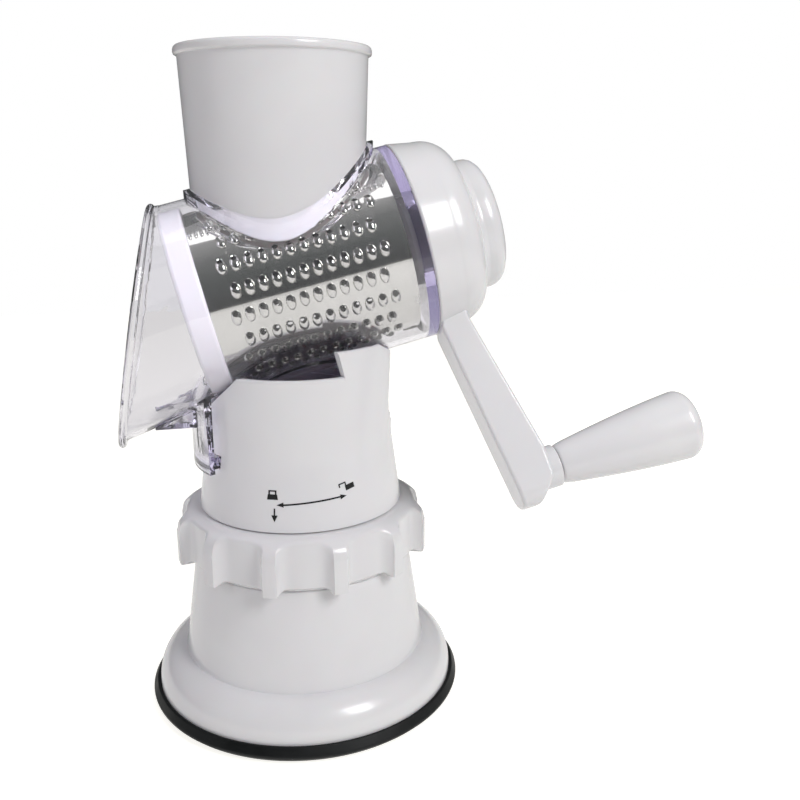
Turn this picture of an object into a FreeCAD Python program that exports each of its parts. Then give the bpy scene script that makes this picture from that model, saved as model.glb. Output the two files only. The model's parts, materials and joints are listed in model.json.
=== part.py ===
import FreeCAD, Part
import math
import os

from FreeCAD import Vector

# Rotary cheese grater, in millimetres. +Z is up and the origin is the centre of the suction face.
# The drum turns about a tilted axis in the XZ plane: outlet mouth towards -X, crank towards +X.

# Suction pad
pad_radius = 65.0
pad_sheet = 3.0
pad_lip_thickness = 3.1
pad_lip_height = 7.0
pad_foot_chamfer = 3.0
pad_boss_radius = 13.0
pad_boss_height = 10.5

# Base shell
shell_wall = 2.5
waist_radius = 49.7
waist_height = 20.7
deck_radius = 44.0
deck_height = 60.6
deck_thickness = 3.0
deck_rib_count = 6
deck_rib_depth = 18.0
deck_rib_thickness = 2.0

# Lock ring
ring_height = 21.2
ring_radius = 51.3
ring_valley_radius = 46.8
ring_lobe_count = 12
ring_lobe_phase = 10.0
ring_flank_radius = 4.8
ring_valley_half_angle = 7.5
ring_turn = 45.0
ring_shoulder_drop = 8.0

# Column
sleeve_radius = 39.2
collar_radius = 40.9
neck_radius = 37.3
neck_height = 110.0
rim_radius = 37.6
rim_step_x = 9.5
rim_step_run = 4.8
rim_drop_high = 24.2
rim_drop_low = 33.7
column_flange_width = 6.5
column_flange_thickness = 3.0
column_screw_count = 4
column_post_radius = 4.4
column_post_height = 11.0
thumb_recess_depth = 3.2
thumb_recess_height = 32.0
thumb_recess_width = 36.0

# Suction lift
lift_travel = 4.0
cam_pin_radius = 2.5
cam_pin_height = 67.4
cam_slot_depth = 4.6
lifter_radius = 8.0
lifter_foot_radius = 13.0
lifter_foot_thickness = 2.5
lifter_head_rise = 7.6
stud_radius = 3.0
stud_foot_radius = 9.0
stud_foot_thickness = 1.5
stud_reach = 26.0
spring_wire_radius = 0.9
spring_coil_radius = 10.4
spring_turns = 8

# Drum
axis_height = 173.7
axis_tilt = 14.0
drum_radius = 32.4
drum_length = 74.9
drum_front = -34.1
drum_sheet = 0.5
drum_ring_length = 8.9
drum_ring_proud = 3.2
drum_ring_step = 2.8
drum_spigot_length = 6.0
drum_hub_plate = 4.0
drum_hub_radius = 13.0
drum_hub_length = 14.0
rivet_radius = 1.5
rivet_count = 2
hole_radius = 1.55
hole_rows = 22
hole_start_angle = -2.9
holes_per_row = 12
hole_pitch = 5.0
hole_first = -23.1
rivet_angle = hole_start_angle - 180.0 / hole_rows

# Clear housing
housing_wall = 2.0
drum_room = 3.8
rear_wall = 3.7
mouth_start = -41.0
mouth_top_reach = 45.4
mouth_bottom_reach = 83.0
mouth_top_flare = 0.8
mouth_bottom_flare = 5.8
mouth_side_flare = 0.8
mouth_lip = 1.1
mouth_lip_thickness = 2.0
collar_height = 3.0
collar_width = 2.2
foot_drop = 5.0
foot_plate = 3.0
foot_skirt_length = 8.0
foot_neck_radius = 24.0
hook_half_angle = 31.0
hook_thickness = 2.2
hook_gap = 1.0
hook_length = 23.0
catch_height = 4.5
catch_depth = 4.0
gusset_length = 15.5
gusset_drop = 6.3
gusset_half_width = 12.0

# Hopper
hopper_x = -4.7
hopper_rise = 82.9
hopper_top_radius = 34.7
hopper_taper = 2.3
hopper_wall = 2.2
hopper_lip_height = 3.2
hopper_lip_overhang = 1.3

# Drive shaft and its bush
shaft_radius = 8.0
shaft_square = 11.0
bush_wall = 5.0
bush_flange_width = 4.0
bush_flange_thickness = 1.2
clip_thickness = 0.8
clip_width = 2.2
shaft_screw_radius = 2.5
shaft_screw_length = 14.0
shaft_screw_head_radius = 4.5
shaft_screw_head_height = 3.0
shaft_washer_radius = 8.0
shaft_washer_thickness = 1.2

# Crank
crank_overhang = 0.3
crank_depth = 22.5
crank_shoulder_depth = 12.5
crank_rim_taper = 1.8
crank_wall = 2.5
crank_rib_count = 6
crank_well_radius = 18.0
crank_well_depth = 4.0
arm_angle = 28.7
arm_length = 113.5
arm_width = 17.6
arm_tip_lean = 7.9
arm_root_thickness = 11.4
arm_tip_thickness = 13.9
arm_tip_chamfer = 7.0
arm_tip_rounding = 6.5
cap_radius = 25.6
cap_height = 10.4
cap_rounding = 5.5
cap_foot = 0.8
cap_wall = 2.2

# Grip
grip_offset = 101.3
grip_neck_length = 3.6
grip_neck_radius = 8.0
grip_length = 55.5
grip_root_radius = 7.6
grip_end_radius = 13.4
grip_end_rounding = 5.0
spindle_radius = 3.0
spindle_head_radius = 5.4
spindle_head_height = 3.0
spindle_nut_height = 4.6
grip_washer_thickness = 1.0
grip_cap_thickness = 2.5
grip_cap_radius = 8.0
grip_cap_recess = 1.5

# Clearances
seat_gap = 0.3
ring_gap = 0.4
run_gap = 0.08
slot_gap = 0.3
press_gap = 0.02
socket_gap = 0.1

# Sizes that follow from the ones above
tilt = math.radians(axis_tilt)
shell_radius = pad_radius - pad_lip_thickness - seat_gap
shell_edge_height = pad_lip_height + ring_gap
ring_bottom = deck_height + ring_gap
ring_top = ring_bottom + ring_height
collar_z = ring_top + ring_gap
rim_high = axis_height - rim_drop_high
rim_low = axis_height - rim_drop_low
column_bore = rim_radius - shell_wall
housing_bore = drum_radius + drum_room
housing_radius = housing_bore + housing_wall
drum_back = drum_front + drum_length
drum_ring_radius = drum_radius + drum_ring_proud
drum_ring_bore = drum_radius - drum_ring_step
hopper_top = axis_height + hopper_rise
clip_front = drum_back - 0.2
bush_front = clip_front + clip_thickness + seat_gap
wall_front = bush_front + bush_flange_thickness
wall_back = wall_front + rear_wall
bush_radius = shaft_radius + run_gap + bush_wall
crank_back = wall_back + ring_gap
crank_radius = housing_radius + crank_overhang
crank_face = crank_back + crank_depth
shaft_shoulder = crank_back + 3.0
well_floor = crank_face - crank_well_depth
screw_seat = well_floor + shaft_washer_thickness
tube_underside = axis_height - housing_radius / math.cos(tilt)
foot_top = tube_underside - foot_drop
hub_start = clip_front - seat_gap - drum_hub_length
hub_floor = 2.0
recess_floor = neck_radius - thumb_recess_depth
arm_back = crank_back + seat_gap
arm_tip_back = arm_back + arm_tip_lean
arm_tip_front = arm_tip_back + arm_tip_thickness


def cylinder(radius, z_low, z_high, x=0.0, y=0.0):
    return Part.makeCylinder(radius, z_high - z_low, Vector(x, y, z_low))


def tube(outer, inner, z_low, z_high, x=0.0, y=0.0):
    return cylinder(outer, z_low, z_high, x, y).cut(cylinder(inner, z_low, z_high, x, y))


def box(x_low, x_high, y_low, y_high, z_low, z_high):
    size = Vector(x_high - x_low, y_high - y_low, z_high - z_low)
    return Part.makeBox(size.x, size.y, size.z, Vector(x_low, y_low, z_low))


def revolved(profile):
    """Solid of revolution about Z from a closed outline of (radius, height) points."""
    corners = [Vector(radius, 0, height) for radius, height in profile]
    face = Part.Face(Part.makePolygon(corners + corners[:1]))
    return face.revolve(Vector(0, 0, 0), Vector(0, 0, 1), 360)


def prism_y(outline, half_width):
    """Solid from a closed outline of (x, z) points, centred on y = 0."""
    corners = [Vector(x, -half_width, z) for x, z in outline]
    face = Part.Face(Part.makePolygon(corners + corners[:1]))
    return face.extrude(Vector(0, 2 * half_width, 0))


def arc_points(centre_r, centre_z, radius, first_deg, last_deg, steps=8):
    points = []
    for i in range(steps + 1):
        angle = math.radians(first_deg + (last_deg - first_deg) * i / steps)
        points.append((centre_r + radius * math.cos(angle), centre_z + radius * math.sin(angle)))
    return points


def around(shape, count, start_deg=0.0):
    """Copies of one shape turned about Z at equal steps, as a list."""
    copies = []
    for i in range(count):
        copy = shape.copy()
        copy.rotate(Vector(0, 0, 0), Vector(0, 0, 1), start_deg + 360.0 * i / count)
        copies.append(copy)
    return copies


def on_axis(shape):
    """Moves a shape from the drum's frame (Z along the axis, X down, Y as the row's) to the row's."""
    placed = shape.copy()
    placed.rotate(Vector(0, 0, 0), Vector(0, 1, 0), 90 - axis_tilt)
    placed.translate(Vector(0, 0, axis_height))
    return placed


def hexagon(across_flats, z_low, z_high):
    corner = across_flats / math.sqrt(3)
    points = []
    for i in range(7):
        angle = math.radians(60 * i)
        points.append(Vector(corner * math.cos(angle), corner * math.sin(angle), z_low))
    return Part.Face(Part.makePolygon(points)).extrude(Vector(0, 0, z_high - z_low))


def square_bar(across_flats, z_low, z_high):
    half = across_flats / 2
    return box(-half, half, -half, half, z_low, z_high)


# ---- Base -------------------------------------------------------------------------------------

def suction_pad():
    lip_bore = pad_radius - pad_lip_thickness
    boss_top = pad_sheet + pad_boss_height
    foot_bottom = pad_sheet + seat_gap
    foot_top_face = foot_bottom + stud_foot_thickness + 2 * seat_gap
    outline = [
        (0, 0),
        (pad_radius - pad_foot_chamfer, 0),
        (pad_radius, pad_foot_chamfer),
        (lip_bore + seat_gap, pad_lip_height),
        (lip_bore, pad_lip_height),
        (lip_bore, pad_sheet),
        (pad_boss_radius, pad_sheet),
        (pad_boss_radius, boss_top),
        (stud_radius + seat_gap, boss_top),
        (stud_radius + seat_gap, foot_top_face),
        (stud_foot_radius + seat_gap, foot_top_face),
        (stud_foot_radius + seat_gap, foot_bottom - seat_gap),
        (0, foot_bottom - seat_gap),
    ]
    return revolved(outline)


def flange_curve():
    """Convex top of the flange, from the rim in to the waist, as a quarter of an ellipse."""
    points = []
    for i in range(9):
        angle = math.radians(90.0 * i / 8)
        radius = waist_radius + (shell_radius - waist_radius) * math.cos(angle)
        height = shell_edge_height + (waist_height - shell_edge_height) * math.sin(angle)
        points.append((radius, height))
    return points


def base_shell():
    foot = pad_sheet
    inner_rim = shell_radius - 2 * shell_wall
    ceiling = deck_height - deck_thickness
    outside = [(shell_radius, foot)] + flange_curve() + [(deck_radius, deck_height)]
    inside = [
        (0, deck_height),
        (0, ceiling),
        (deck_radius - shell_wall, ceiling),
        (waist_radius - shell_wall, waist_height - shell_wall),
        (inner_rim, shell_edge_height),
        (inner_rim, foot),
    ]
    shell = revolved(outside + inside)
    rib = box(
        lifter_radius + shell_wall,
        deck_radius - shell_wall / 2,
        -deck_rib_thickness / 2,
        deck_rib_thickness / 2,
        ceiling - deck_rib_depth,
        ceiling + deck_thickness / 2,
    )
    ribs = around(rib, deck_rib_count, 180.0 / deck_rib_count)
    spring_room = cylinder(
        spring_coil_radius + 3 * spring_wire_radius, pad_sheet, ceiling
    )
    shell = shell.multiFuse(ribs).cut(spring_room)
    holes = around(column_screw_cutter(), column_screw_count, 45.0)
    guide = cylinder(lifter_radius + run_gap, pad_sheet, deck_height + 1)
    return shell.cut(Part.makeCompound(holes + [guide]))


def column_screw_place():
    return column_bore_low() - column_flange_width / 2


def column_bore_low():
    return sleeve_radius - shell_wall


def column_screw_cutter():
    place = column_screw_place()
    return cylinder(2.1, deck_height - 2 * deck_thickness, deck_height + 1, place)


def column_screws():
    place = column_screw_place()
    under = deck_height - deck_thickness
    head = cylinder(3.4, under - 2.4, under, place)
    shank = cylinder(1.9, under, deck_height + column_post_height - 1.5, place)
    slot = box(place - 3.4, place + 3.4, -0.4, 0.4, under - 2.4, under - 1.4)
    screw = head.fuse(shank).cut(slot)
    return Part.makeCompound(around(screw, column_screw_count, 45.0))


def column():
    outside = [
        (sleeve_radius, deck_height),
        (sleeve_radius, collar_z),
        (collar_radius, collar_z),
        (neck_radius, neck_height),
        (rim_radius, rim_high),
    ]
    inside = [
        (column_bore, rim_high),
        (column_bore, collar_z + shell_wall),
        (column_bore_low() - 1.0, collar_z - shell_wall),
        (column_bore_low(), deck_height + column_flange_thickness + 2),
        (column_bore_low(), deck_height + column_flange_thickness),
        (column_bore_low() - column_flange_width, deck_height + column_flange_thickness),
        (column_bore_low() - column_flange_width, deck_height),
    ]
    body = revolved(outside + inside)
    core = revolved([(0, deck_height)] + outside + [(0, rim_high)])
    backing = core.common(thumb_backing(0.0))
    post_top = deck_height + column_post_height
    post = cylinder(column_post_radius, deck_height, post_top, column_screw_place())
    body = body.multiFuse(around(post, column_screw_count, 45.0) + [backing])
    far = 2 * pad_radius
    low_cut = prism_y(
        [
            (-far, rim_low),
            (rim_step_x + rim_step_run, rim_low),
            (rim_step_x, rim_high + 1),
            (-far, rim_high + 1),
        ],
        far,
    )
    cradle = on_axis(cylinder(housing_radius + seat_gap, -far, far))
    cradle = cradle.fuse(on_axis(mouth_loft(-seat_gap)))
    screw_hole = cylinder(2.0, deck_height - 1, post_top - 1, column_screw_place())
    cutters = around(screw_hole, column_screw_count, 45.0)
    body = body.cut(low_cut).cut(cradle).cut(Part.makeCompound(cutters))
    return body.cut(thumb_recess()).cut(cam_pin_slots()).cut(catch_window())


def thumb_recess():
    """Shallow scoop in the column's rear face, deepest a third of the way up."""
    low = rim_high - thumb_recess_height - 4
    deep = low + thumb_recess_height / 3
    outer = rim_radius + 5
    outline = [
        (neck_radius - 0.4, low),
        (recess_floor, deep),
        (recess_floor, deep + 3),
        (neck_radius - 0.2, rim_high),
        (outer, rim_high),
        (outer, low),
    ]
    return prism_y(outline, thumb_recess_width / 2)


def thumb_backing(gap):
    """Block behind the scoop that keeps the wall its full thickness there."""
    half = thumb_recess_width / 2 + shell_wall + gap
    low = rim_high - thumb_recess_height - 4 - shell_wall - gap
    return box(recess_floor - shell_wall - gap, rim_radius, -half, half, low, rim_high)


def cam_pin_slots():
    half = cam_pin_radius + slot_gap
    low = cam_pin_height - half
    high = cam_pin_height + lift_travel + half
    return box(-ring_radius, ring_radius, -half, half, low, high)


def catch_span():
    low = hook_bottom() + 2.0
    return low, low + catch_height


def catch_window():
    low, high = catch_span()
    return sector(
        column_bore - 3,
        collar_radius + 3,
        hook_half_angle + 2,
        low - slot_gap,
        high + slot_gap,
    )


def sector(inner, outer, half_angle, z_low, z_high):
    """Ring segment centred on the -X direction."""
    reach = 3 * outer
    wedge = Part.Face(
        Part.makePolygon(
            [
                Vector(0, 0, z_low),
                Vector(-reach, reach * math.tan(math.radians(half_angle)), z_low),
                Vector(-reach, -reach * math.tan(math.radians(half_angle)), z_low),
                Vector(0, 0, z_low),
            ]
        )
    ).extrude(Vector(0, 0, z_high - z_low))
    return tube(outer, inner, z_low, z_high).common(wedge)


def lock_ring():
    bore = sleeve_radius + seat_gap
    shoulder = ring_top - ring_shoulder_drop
    dome_run = ring_radius - collar_radius - 0.4
    crown = []
    for i in range(9):
        angle = math.radians(90.0 * i / 8)
        radius = ring_radius - dome_run * (1 - math.cos(angle))
        crown.append((radius, shoulder + ring_shoulder_drop * math.sin(angle)))
    outline = [(bore, ring_bottom), (ring_radius, ring_bottom)] + crown + [(bore, ring_top)]
    body = revolved(outline)
    valley = sector(ring_valley_radius, 2 * ring_radius, ring_valley_half_angle, ring_bottom - 1, ring_top + 1)
    centre = ring_valley_radius + ring_flank_radius
    for side in (-1, 1):
        flank = cylinder(ring_flank_radius, ring_bottom - 1, ring_top + 1, -centre)
        flank.rotate(Vector(0, 0, 0), Vector(0, 0, 1), side * ring_valley_half_angle)
        valley = valley.fuse(flank)
    half_pitch = 180.0 / ring_lobe_count
    valleys = around(valley, ring_lobe_count, ring_lobe_phase + half_pitch)
    body = body.cut(Part.makeCompound(valleys))
    for side in (0, 180):
        slot = cam_slot()
        slot.rotate(Vector(0, 0, 0), Vector(0, 0, 1), side)
        body = body.cut(slot)
    return body


def cam_slot():
    """Helical groove that the pin climbs while the ring turns clockwise, seen from above."""
    half = cam_pin_radius + slot_gap
    margin = math.degrees(1.6 * half / sleeve_radius)
    pitch = lift_travel * 360.0 / ring_turn
    sweep_angle = ring_turn + 2 * margin
    inner = sleeve_radius - 1
    outer = sleeve_radius + cam_slot_depth
    start_z = cam_pin_height - lift_travel * margin / ring_turn
    helix = Part.makeHelix(pitch, pitch * sweep_angle / 360.0, (inner + outer) / 2)
    section = Part.makePolygon(
        [
            Vector(inner, 0, -half),
            Vector(outer, 0, -half),
            Vector(outer, 0, half),
            Vector(inner, 0, half),
            Vector(inner, 0, -half),
        ]
    )
    slot = Part.Wire(helix.Edges).makePipeShell([section], True, True)
    slot.rotate(Vector(0, 0, 0), Vector(0, 0, 1), -margin)
    slot.translate(Vector(0, 0, start_z))
    return slot


def lifter():
    foot = pad_sheet + pad_boss_height + seat_gap
    top = cam_pin_height + lifter_head_rise
    body = cylinder(lifter_foot_radius, foot, foot + lifter_foot_thickness)
    body = body.fuse(cylinder(lifter_radius, foot, top))
    stud_hole = cylinder(stud_radius + press_gap, foot, foot + stud_reach + 1)
    return body.cut(stud_hole).cut(cam_pin_body(press_gap))


def cam_pin_body(extra=0.0):
    reach = sleeve_radius + cam_slot_depth - slot_gap
    end = Vector(-reach, 0, cam_pin_height)
    return Part.makeCylinder(cam_pin_radius + extra, 2 * reach, end, Vector(1, 0, 0))


def pad_stud():
    bottom = pad_sheet + seat_gap
    foot = cylinder(stud_foot_radius, bottom, bottom + stud_foot_thickness)
    top = pad_sheet + pad_boss_height + seat_gap + stud_reach
    return foot.fuse(cylinder(stud_radius, bottom, top))


def spring_seat():
    return pad_sheet + pad_boss_height + seat_gap + lifter_foot_thickness


def return_spring():
    wire = spring_wire_radius
    low = spring_seat() + wire
    high = deck_height - deck_thickness - wire
    height = high - low
    helix = Part.makeHelix(height / spring_turns, height, spring_coil_radius)
    helix.translate(Vector(0, 0, low))
    section = Part.Wire(Part.makeCircle(wire, Vector(spring_coil_radius, 0, low), Vector(0, 1, 0)))
    return Part.Wire(helix.Edges).makePipeShell([section], True, True)


# ---- Drum -------------------------------------------------------------------------------------

def drum_shell():
    shell = tube(drum_radius, drum_radius - drum_sheet, drum_front, drum_back)
    holes = []
    for row in range(hole_rows):
        angle = hole_start_angle + 360.0 * row / hole_rows
        shift = -hole_pitch / 2 if row % 2 else 0.0
        for i in range(holes_per_row):
            place = hole_first + shift + i * hole_pitch
            hole = radial_cylinder(hole_radius, place, drum_radius - 2 * drum_sheet, drum_radius + drum_sheet)
            hole.rotate(Vector(0, 0, 0), Vector(0, 0, 1), angle)
            holes.append(hole)
    shell = shell.cut(Part.makeCompound(holes))
    return on_axis(shell.cut(Part.makeCompound(rivet_holes())))


def radial_cylinder(radius, place, inner, outer):
    return Part.makeCylinder(radius, outer - inner, Vector(inner, 0, place), Vector(1, 0, 0))


def rivet_places():
    return drum_front + drum_spigot_length / 2, clip_front - seat_gap - drum_hub_plate / 2


def rivet_holes():
    holes = []
    for place in rivet_places():
        hole = radial_cylinder(rivet_radius, place, drum_radius - 2 * drum_sheet, drum_radius + 1)
        holes += around(hole, rivet_count, rivet_angle)
    return holes


def drum_rivets():
    rivets = []
    inner = drum_radius - drum_sheet - 1.8
    for place in rivet_places():
        shank = radial_cylinder(rivet_radius - press_gap, place, inner, drum_radius + press_gap)
        head = radial_cylinder(2 * rivet_radius, place, drum_radius + press_gap, drum_radius + 0.6)
        rivets += around(shank.fuse(head), rivet_count, rivet_angle)
    return on_axis(Part.makeCompound(rivets))


def rivet_sockets(place):
    socket = radial_cylinder(rivet_radius, place, drum_radius - drum_sheet - 2.0, drum_radius + 1)
    return Part.makeCompound(around(socket, rivet_count, rivet_angle))


def drum_front_ring():
    front = drum_front - drum_ring_length
    spigot = drum_radius - drum_sheet - press_gap
    edge = 1.2
    outline = [
        (drum_ring_bore, front),
        (drum_ring_radius - edge, front),
        (drum_ring_radius, front + edge),
        (drum_ring_radius, drum_front - edge),
        (drum_ring_radius - edge, drum_front - press_gap),
        (spigot, drum_front - press_gap),
        (spigot, drum_front + drum_spigot_length),
        (drum_ring_bore, drum_front + drum_spigot_length),
    ]
    return on_axis(revolved(outline).cut(rivet_sockets(rivet_places()[0])))


def drum_rear_hub():
    plate_radius = drum_radius - drum_sheet - press_gap
    plate_back = clip_front - seat_gap
    body = cylinder(plate_radius, plate_back - drum_hub_plate, plate_back)
    body = body.fuse(cylinder(drum_hub_radius, hub_start, plate_back))
    socket = square_bar(shaft_square + 2 * socket_gap, hub_start + hub_floor, plate_back + 1)
    return on_axis(body.cut(turned(socket)).cut(rivet_sockets(rivet_places()[1])))


# ---- Clear housing and hopper -----------------------------------------------------------------

def hopper_radius(height):
    top_wall = hopper_top - hopper_lip_height
    return hopper_top_radius - (top_wall - height) * math.tan(math.radians(hopper_taper))


def hopper_cone(offset, z_low, z_high):
    low = hopper_radius(z_low) + offset
    high = hopper_radius(z_high) + offset
    return Part.makeCone(low, high, z_high - z_low, Vector(hopper_x, 0, z_low))


def hopper():
    lip_z = hopper_top - hopper_lip_height
    outside = hopper_cone(0.0, axis_height, hopper_top)
    lip = cylinder(hopper_top_radius + hopper_lip_overhang, lip_z, hopper_top, hopper_x)
    lip = lip.makeFillet(0.9, [lip.Edges[0], lip.Edges[2]])
    inside = hopper_cone(-hopper_wall, axis_height - 1, hopper_top + 1)
    saddle = on_axis(cylinder(housing_bore, -2 * pad_radius, 2 * pad_radius))
    return outside.fuse(lip).cut(inside).cut(saddle)


def oval(wall):
    """Closed outline of the outlet mouth in its leaning plane, drawn in the drum's frame."""
    top = Vector(-housing_radius - mouth_top_flare, 0, -mouth_top_reach)
    bottom = Vector(housing_radius + mouth_bottom_flare, 0, -mouth_bottom_reach)
    centre = (top + bottom) * 0.5
    half_height = centre.distanceToPoint(top)
    along = (bottom - top).normalize()
    tip = centre + along * (half_height - wall)
    side = centre + Vector(0, housing_radius + mouth_side_flare - wall, 0)
    return Part.Wire(Part.Ellipse(tip, side, centre).toShape())


def mouth_normal():
    run = mouth_bottom_reach - mouth_top_reach
    fall = 2 * housing_radius + mouth_top_flare + mouth_bottom_flare
    return Vector(-run, 0, -fall).normalize()


def mouth_loft(wall):
    start = Part.Wire(Part.makeCircle(housing_radius - wall, Vector(0, 0, mouth_start), Vector(0, 0, 1)))
    return Part.makeLoft([start, oval(wall)], True, True)


def mouth_rim():
    ring = Part.Face(oval(-mouth_lip)).cut(Part.Face(oval(housing_wall)))
    return ring.extrude(mouth_normal() * -mouth_lip_thickness)


def hook_bottom():
    return foot_top - hook_length - foot_drop


def hook():
    inner = neck_radius + (collar_radius - neck_radius) / 2 + hook_gap
    outer = inner + hook_thickness
    strap = sector(inner, outer, hook_half_angle, hook_bottom(), axis_height)
    low, high = catch_span()
    return strap.fuse(sector(inner - catch_depth, outer, hook_half_angle, low, high))


def gusset():
    inner = -neck_radius - (collar_radius - neck_radius) / 2 - hook_gap
    level = foot_top - foot_drop - gusset_drop
    plate = housing_wall
    outline = [
        (inner, level),
        (inner - gusset_length, level),
        (inner - gusset_length + 4, axis_height),
        (inner, axis_height),
    ]
    sides = []
    for sign in (-1, 1):
        side = prism_y(outline, plate / 2)
        side.translate(Vector(0, sign * gusset_half_width, 0))
        sides.append(side)
    floor = box(inner - gusset_length, inner, -gusset_half_width, gusset_half_width, level, level + plate)
    return sides[0].fuse(sides[1]).fuse(floor)


def foot():
    bore = column_bore - seat_gap
    plate = cylinder(bore, foot_top - foot_plate, foot_top)
    skirt = tube(bore, bore - housing_wall, foot_top - foot_plate - foot_skirt_length, foot_top)
    neck = tube(foot_neck_radius, foot_neck_radius - housing_wall, foot_top - 1, axis_height)
    return plate.fuse(skirt).cut(thumb_backing(seat_gap)).fuse(neck)


def clear_housing():
    far = 2 * pad_radius
    outer_tube = on_axis(cylinder(housing_radius, mouth_start, wall_back))
    mouth = on_axis(mouth_loft(0.0))
    rim = on_axis(mouth_rim())
    band = on_axis(cylinder(housing_radius + collar_height, -far, far))
    top_half = hopper_cone(collar_width + seat_gap, axis_height + 5, hopper_top - hopper_lip_height)
    collar = top_half.common(band)
    envelope = outer_tube.fuse(mouth)
    under = foot().fuse(hook()).fuse(gusset())
    body = envelope.multiFuse([rim, collar, under])
    cavity = on_axis(cylinder(housing_bore, mouth_start, wall_front))
    funnel = on_axis(mouth_loft(housing_wall))
    port = hopper_cone(seat_gap, axis_height, hopper_top)
    bush_hole = on_axis(cylinder(bush_radius + press_gap, 0, far))
    body = body.cut(cavity).cut(funnel).cut(port).cut(bush_hole)
    return body


# ---- Crank ------------------------------------------------------------------------------------

def crank_bush():
    flange = bush_radius + bush_flange_width
    body = cylinder(flange, bush_front, wall_front - press_gap).fuse(cylinder(bush_radius, bush_front, wall_back))
    return on_axis(body.cut(cylinder(shaft_radius + run_gap, bush_front - 1, wall_back + 1)))


def drive_shaft():
    bar = square_bar(shaft_square, hub_start + hub_floor + seat_gap, well_floor)
    journal = cylinder(shaft_radius, clip_front - seat_gap, shaft_shoulder)
    groove = tube(shaft_radius + 1, shaft_radius - clip_width / 2, clip_front, clip_front + clip_thickness)
    thread = cylinder(shaft_screw_radius, well_floor - shaft_screw_length, well_floor + 1)
    return on_axis(turned(bar.fuse(journal).cut(groove).cut(thread)))


def shaft_clip():
    inner = shaft_radius - clip_width / 2 + press_gap
    edge = press_gap
    ring = tube(inner + clip_width, inner, clip_front + edge, clip_front + clip_thickness - edge)
    opening = box(0, 2 * shaft_radius, -shaft_radius / 3, shaft_radius / 3, clip_front - 1, clip_front + 2)
    return on_axis(ring.cut(opening))


def shaft_washer():
    ring = tube(shaft_washer_radius, shaft_screw_radius + socket_gap, well_floor, screw_seat)
    return on_axis(ring)


def shaft_screw():
    head = cylinder(shaft_screw_head_radius, screw_seat, screw_seat + shaft_screw_head_height)
    shank = cylinder(shaft_screw_radius - press_gap, well_floor - shaft_screw_length + 1, screw_seat)
    key = hexagon(4.0, screw_seat + 1.2, screw_seat + shaft_screw_head_height + 1)
    return on_axis(head.fuse(shank).cut(key))


def crank_disc(inset, back):
    """Domed disc of the crank: a slightly tapered rim, then a quarter of an ellipse in to the cap."""
    shoulder_z = crank_face - crank_shoulder_depth
    shoulder_radius = crank_radius - crank_rim_taper
    run = shoulder_radius - cap_radius - cap_foot
    points = [(0, back), (crank_radius - inset, back)]
    for i in range(9):
        angle = math.radians(90.0 * i / 8)
        radius = shoulder_radius - inset - run * (1 - math.cos(angle))
        points.append((radius, shoulder_z - inset + crank_shoulder_depth * math.sin(angle)))
    points.append((0, crank_face - inset))
    return revolved(points)


def arm_solid():
    """Tapered arm in the drum's frame, pointing along +X before it is turned to its rest angle."""
    outline = [
        (crank_well_radius, arm_back),
        (crank_radius, arm_back),
        (arm_length, arm_tip_back),
        (arm_length, arm_tip_front - arm_tip_chamfer),
        (grip_offset + arm_tip_chamfer / 2, arm_tip_front),
        (grip_offset - grip_neck_radius, arm_tip_front),
        (crank_radius, arm_back + arm_root_thickness),
        (crank_well_radius, arm_back + arm_root_thickness),
    ]
    arm = prism_y(outline, arm_width / 2)
    tip_edges = []
    for edge in arm.Edges:
        middle = edge.CenterOfMass
        at_tip = abs(middle.x - arm_length) < 0.01
        at_side = abs(abs(middle.y) - arm_width / 2) < 0.01
        if at_tip and at_side:
            tip_edges.append(edge)
    return arm.makeFillet(arm_tip_rounding, tip_edges)


def crank_arm():
    disc = crank_disc(0.0, crank_back)
    hollow = crank_disc(crank_wall, crank_back - 1)
    hub = cylinder(crank_well_radius + crank_wall, shaft_shoulder, crank_face)
    rib = box(0, crank_radius, -1, 1, shaft_shoulder + 2 * crank_wall, crank_face)
    ribs = Part.makeCompound(around(rib, crank_rib_count, 180.0 / crank_rib_count)).common(hollow)
    neck = cylinder(grip_neck_radius, arm_tip_back + 5, arm_tip_front + grip_neck_length, grip_offset)
    disc = disc.cut(hollow).multiFuse([hub] + ribs.Solids)
    body = disc.fuse(arm_solid()).fuse(neck)
    well = cylinder(crank_well_radius, well_floor, crank_face + 1)
    socket = square_bar(shaft_square + 2 * socket_gap, crank_back, well_floor + 1)
    spindle_hole = cylinder(spindle_radius + press_gap, crank_back, arm_tip_front + 20, grip_offset)
    nut_room = hexagon(10.0 + 2 * socket_gap, crank_back, nut_seat())
    nut_room.translate(Vector(grip_offset, 0, 0))
    bush_room = cylinder(bush_radius + 2 * bush_flange_width, crank_back - 1, shaft_shoulder)
    body = body.cut(well).cut(socket).cut(spindle_hole).cut(nut_room).cut(bush_room)
    return on_axis(turned(body))


def turned(shape):
    """Turns a crank piece about the axis from straight down to its rest angle."""
    copy = shape.copy()
    copy.rotate(Vector(0, 0, 0), Vector(0, 0, 1), -arm_angle)
    return copy


def crank_cap():
    base = crank_face + press_gap
    top = base + cap_height
    straight = top - cap_rounding
    corner = arc_points(cap_radius - cap_rounding, straight, cap_rounding, 0, 90)
    outside = [(0, base), (cap_radius + cap_foot, base), (cap_radius, base + 2)] + corner + [(0, top)]
    body = revolved(outside)
    inner = cylinder(cap_radius - cap_wall, base - 1, top - 2 * cap_wall)
    spigot_outer = crank_well_radius - socket_gap
    spigot = tube(spigot_outer, spigot_outer - cap_wall, well_floor + 1.5, top - cap_wall)
    return on_axis(body.cut(inner).fuse(spigot))


# ---- Grip -------------------------------------------------------------------------------------

def nut_seat():
    return arm_tip_back + spindle_nut_height


def grip_start():
    return arm_tip_front + grip_neck_length + ring_gap


def grip_end():
    return grip_start() + grip_length


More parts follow.
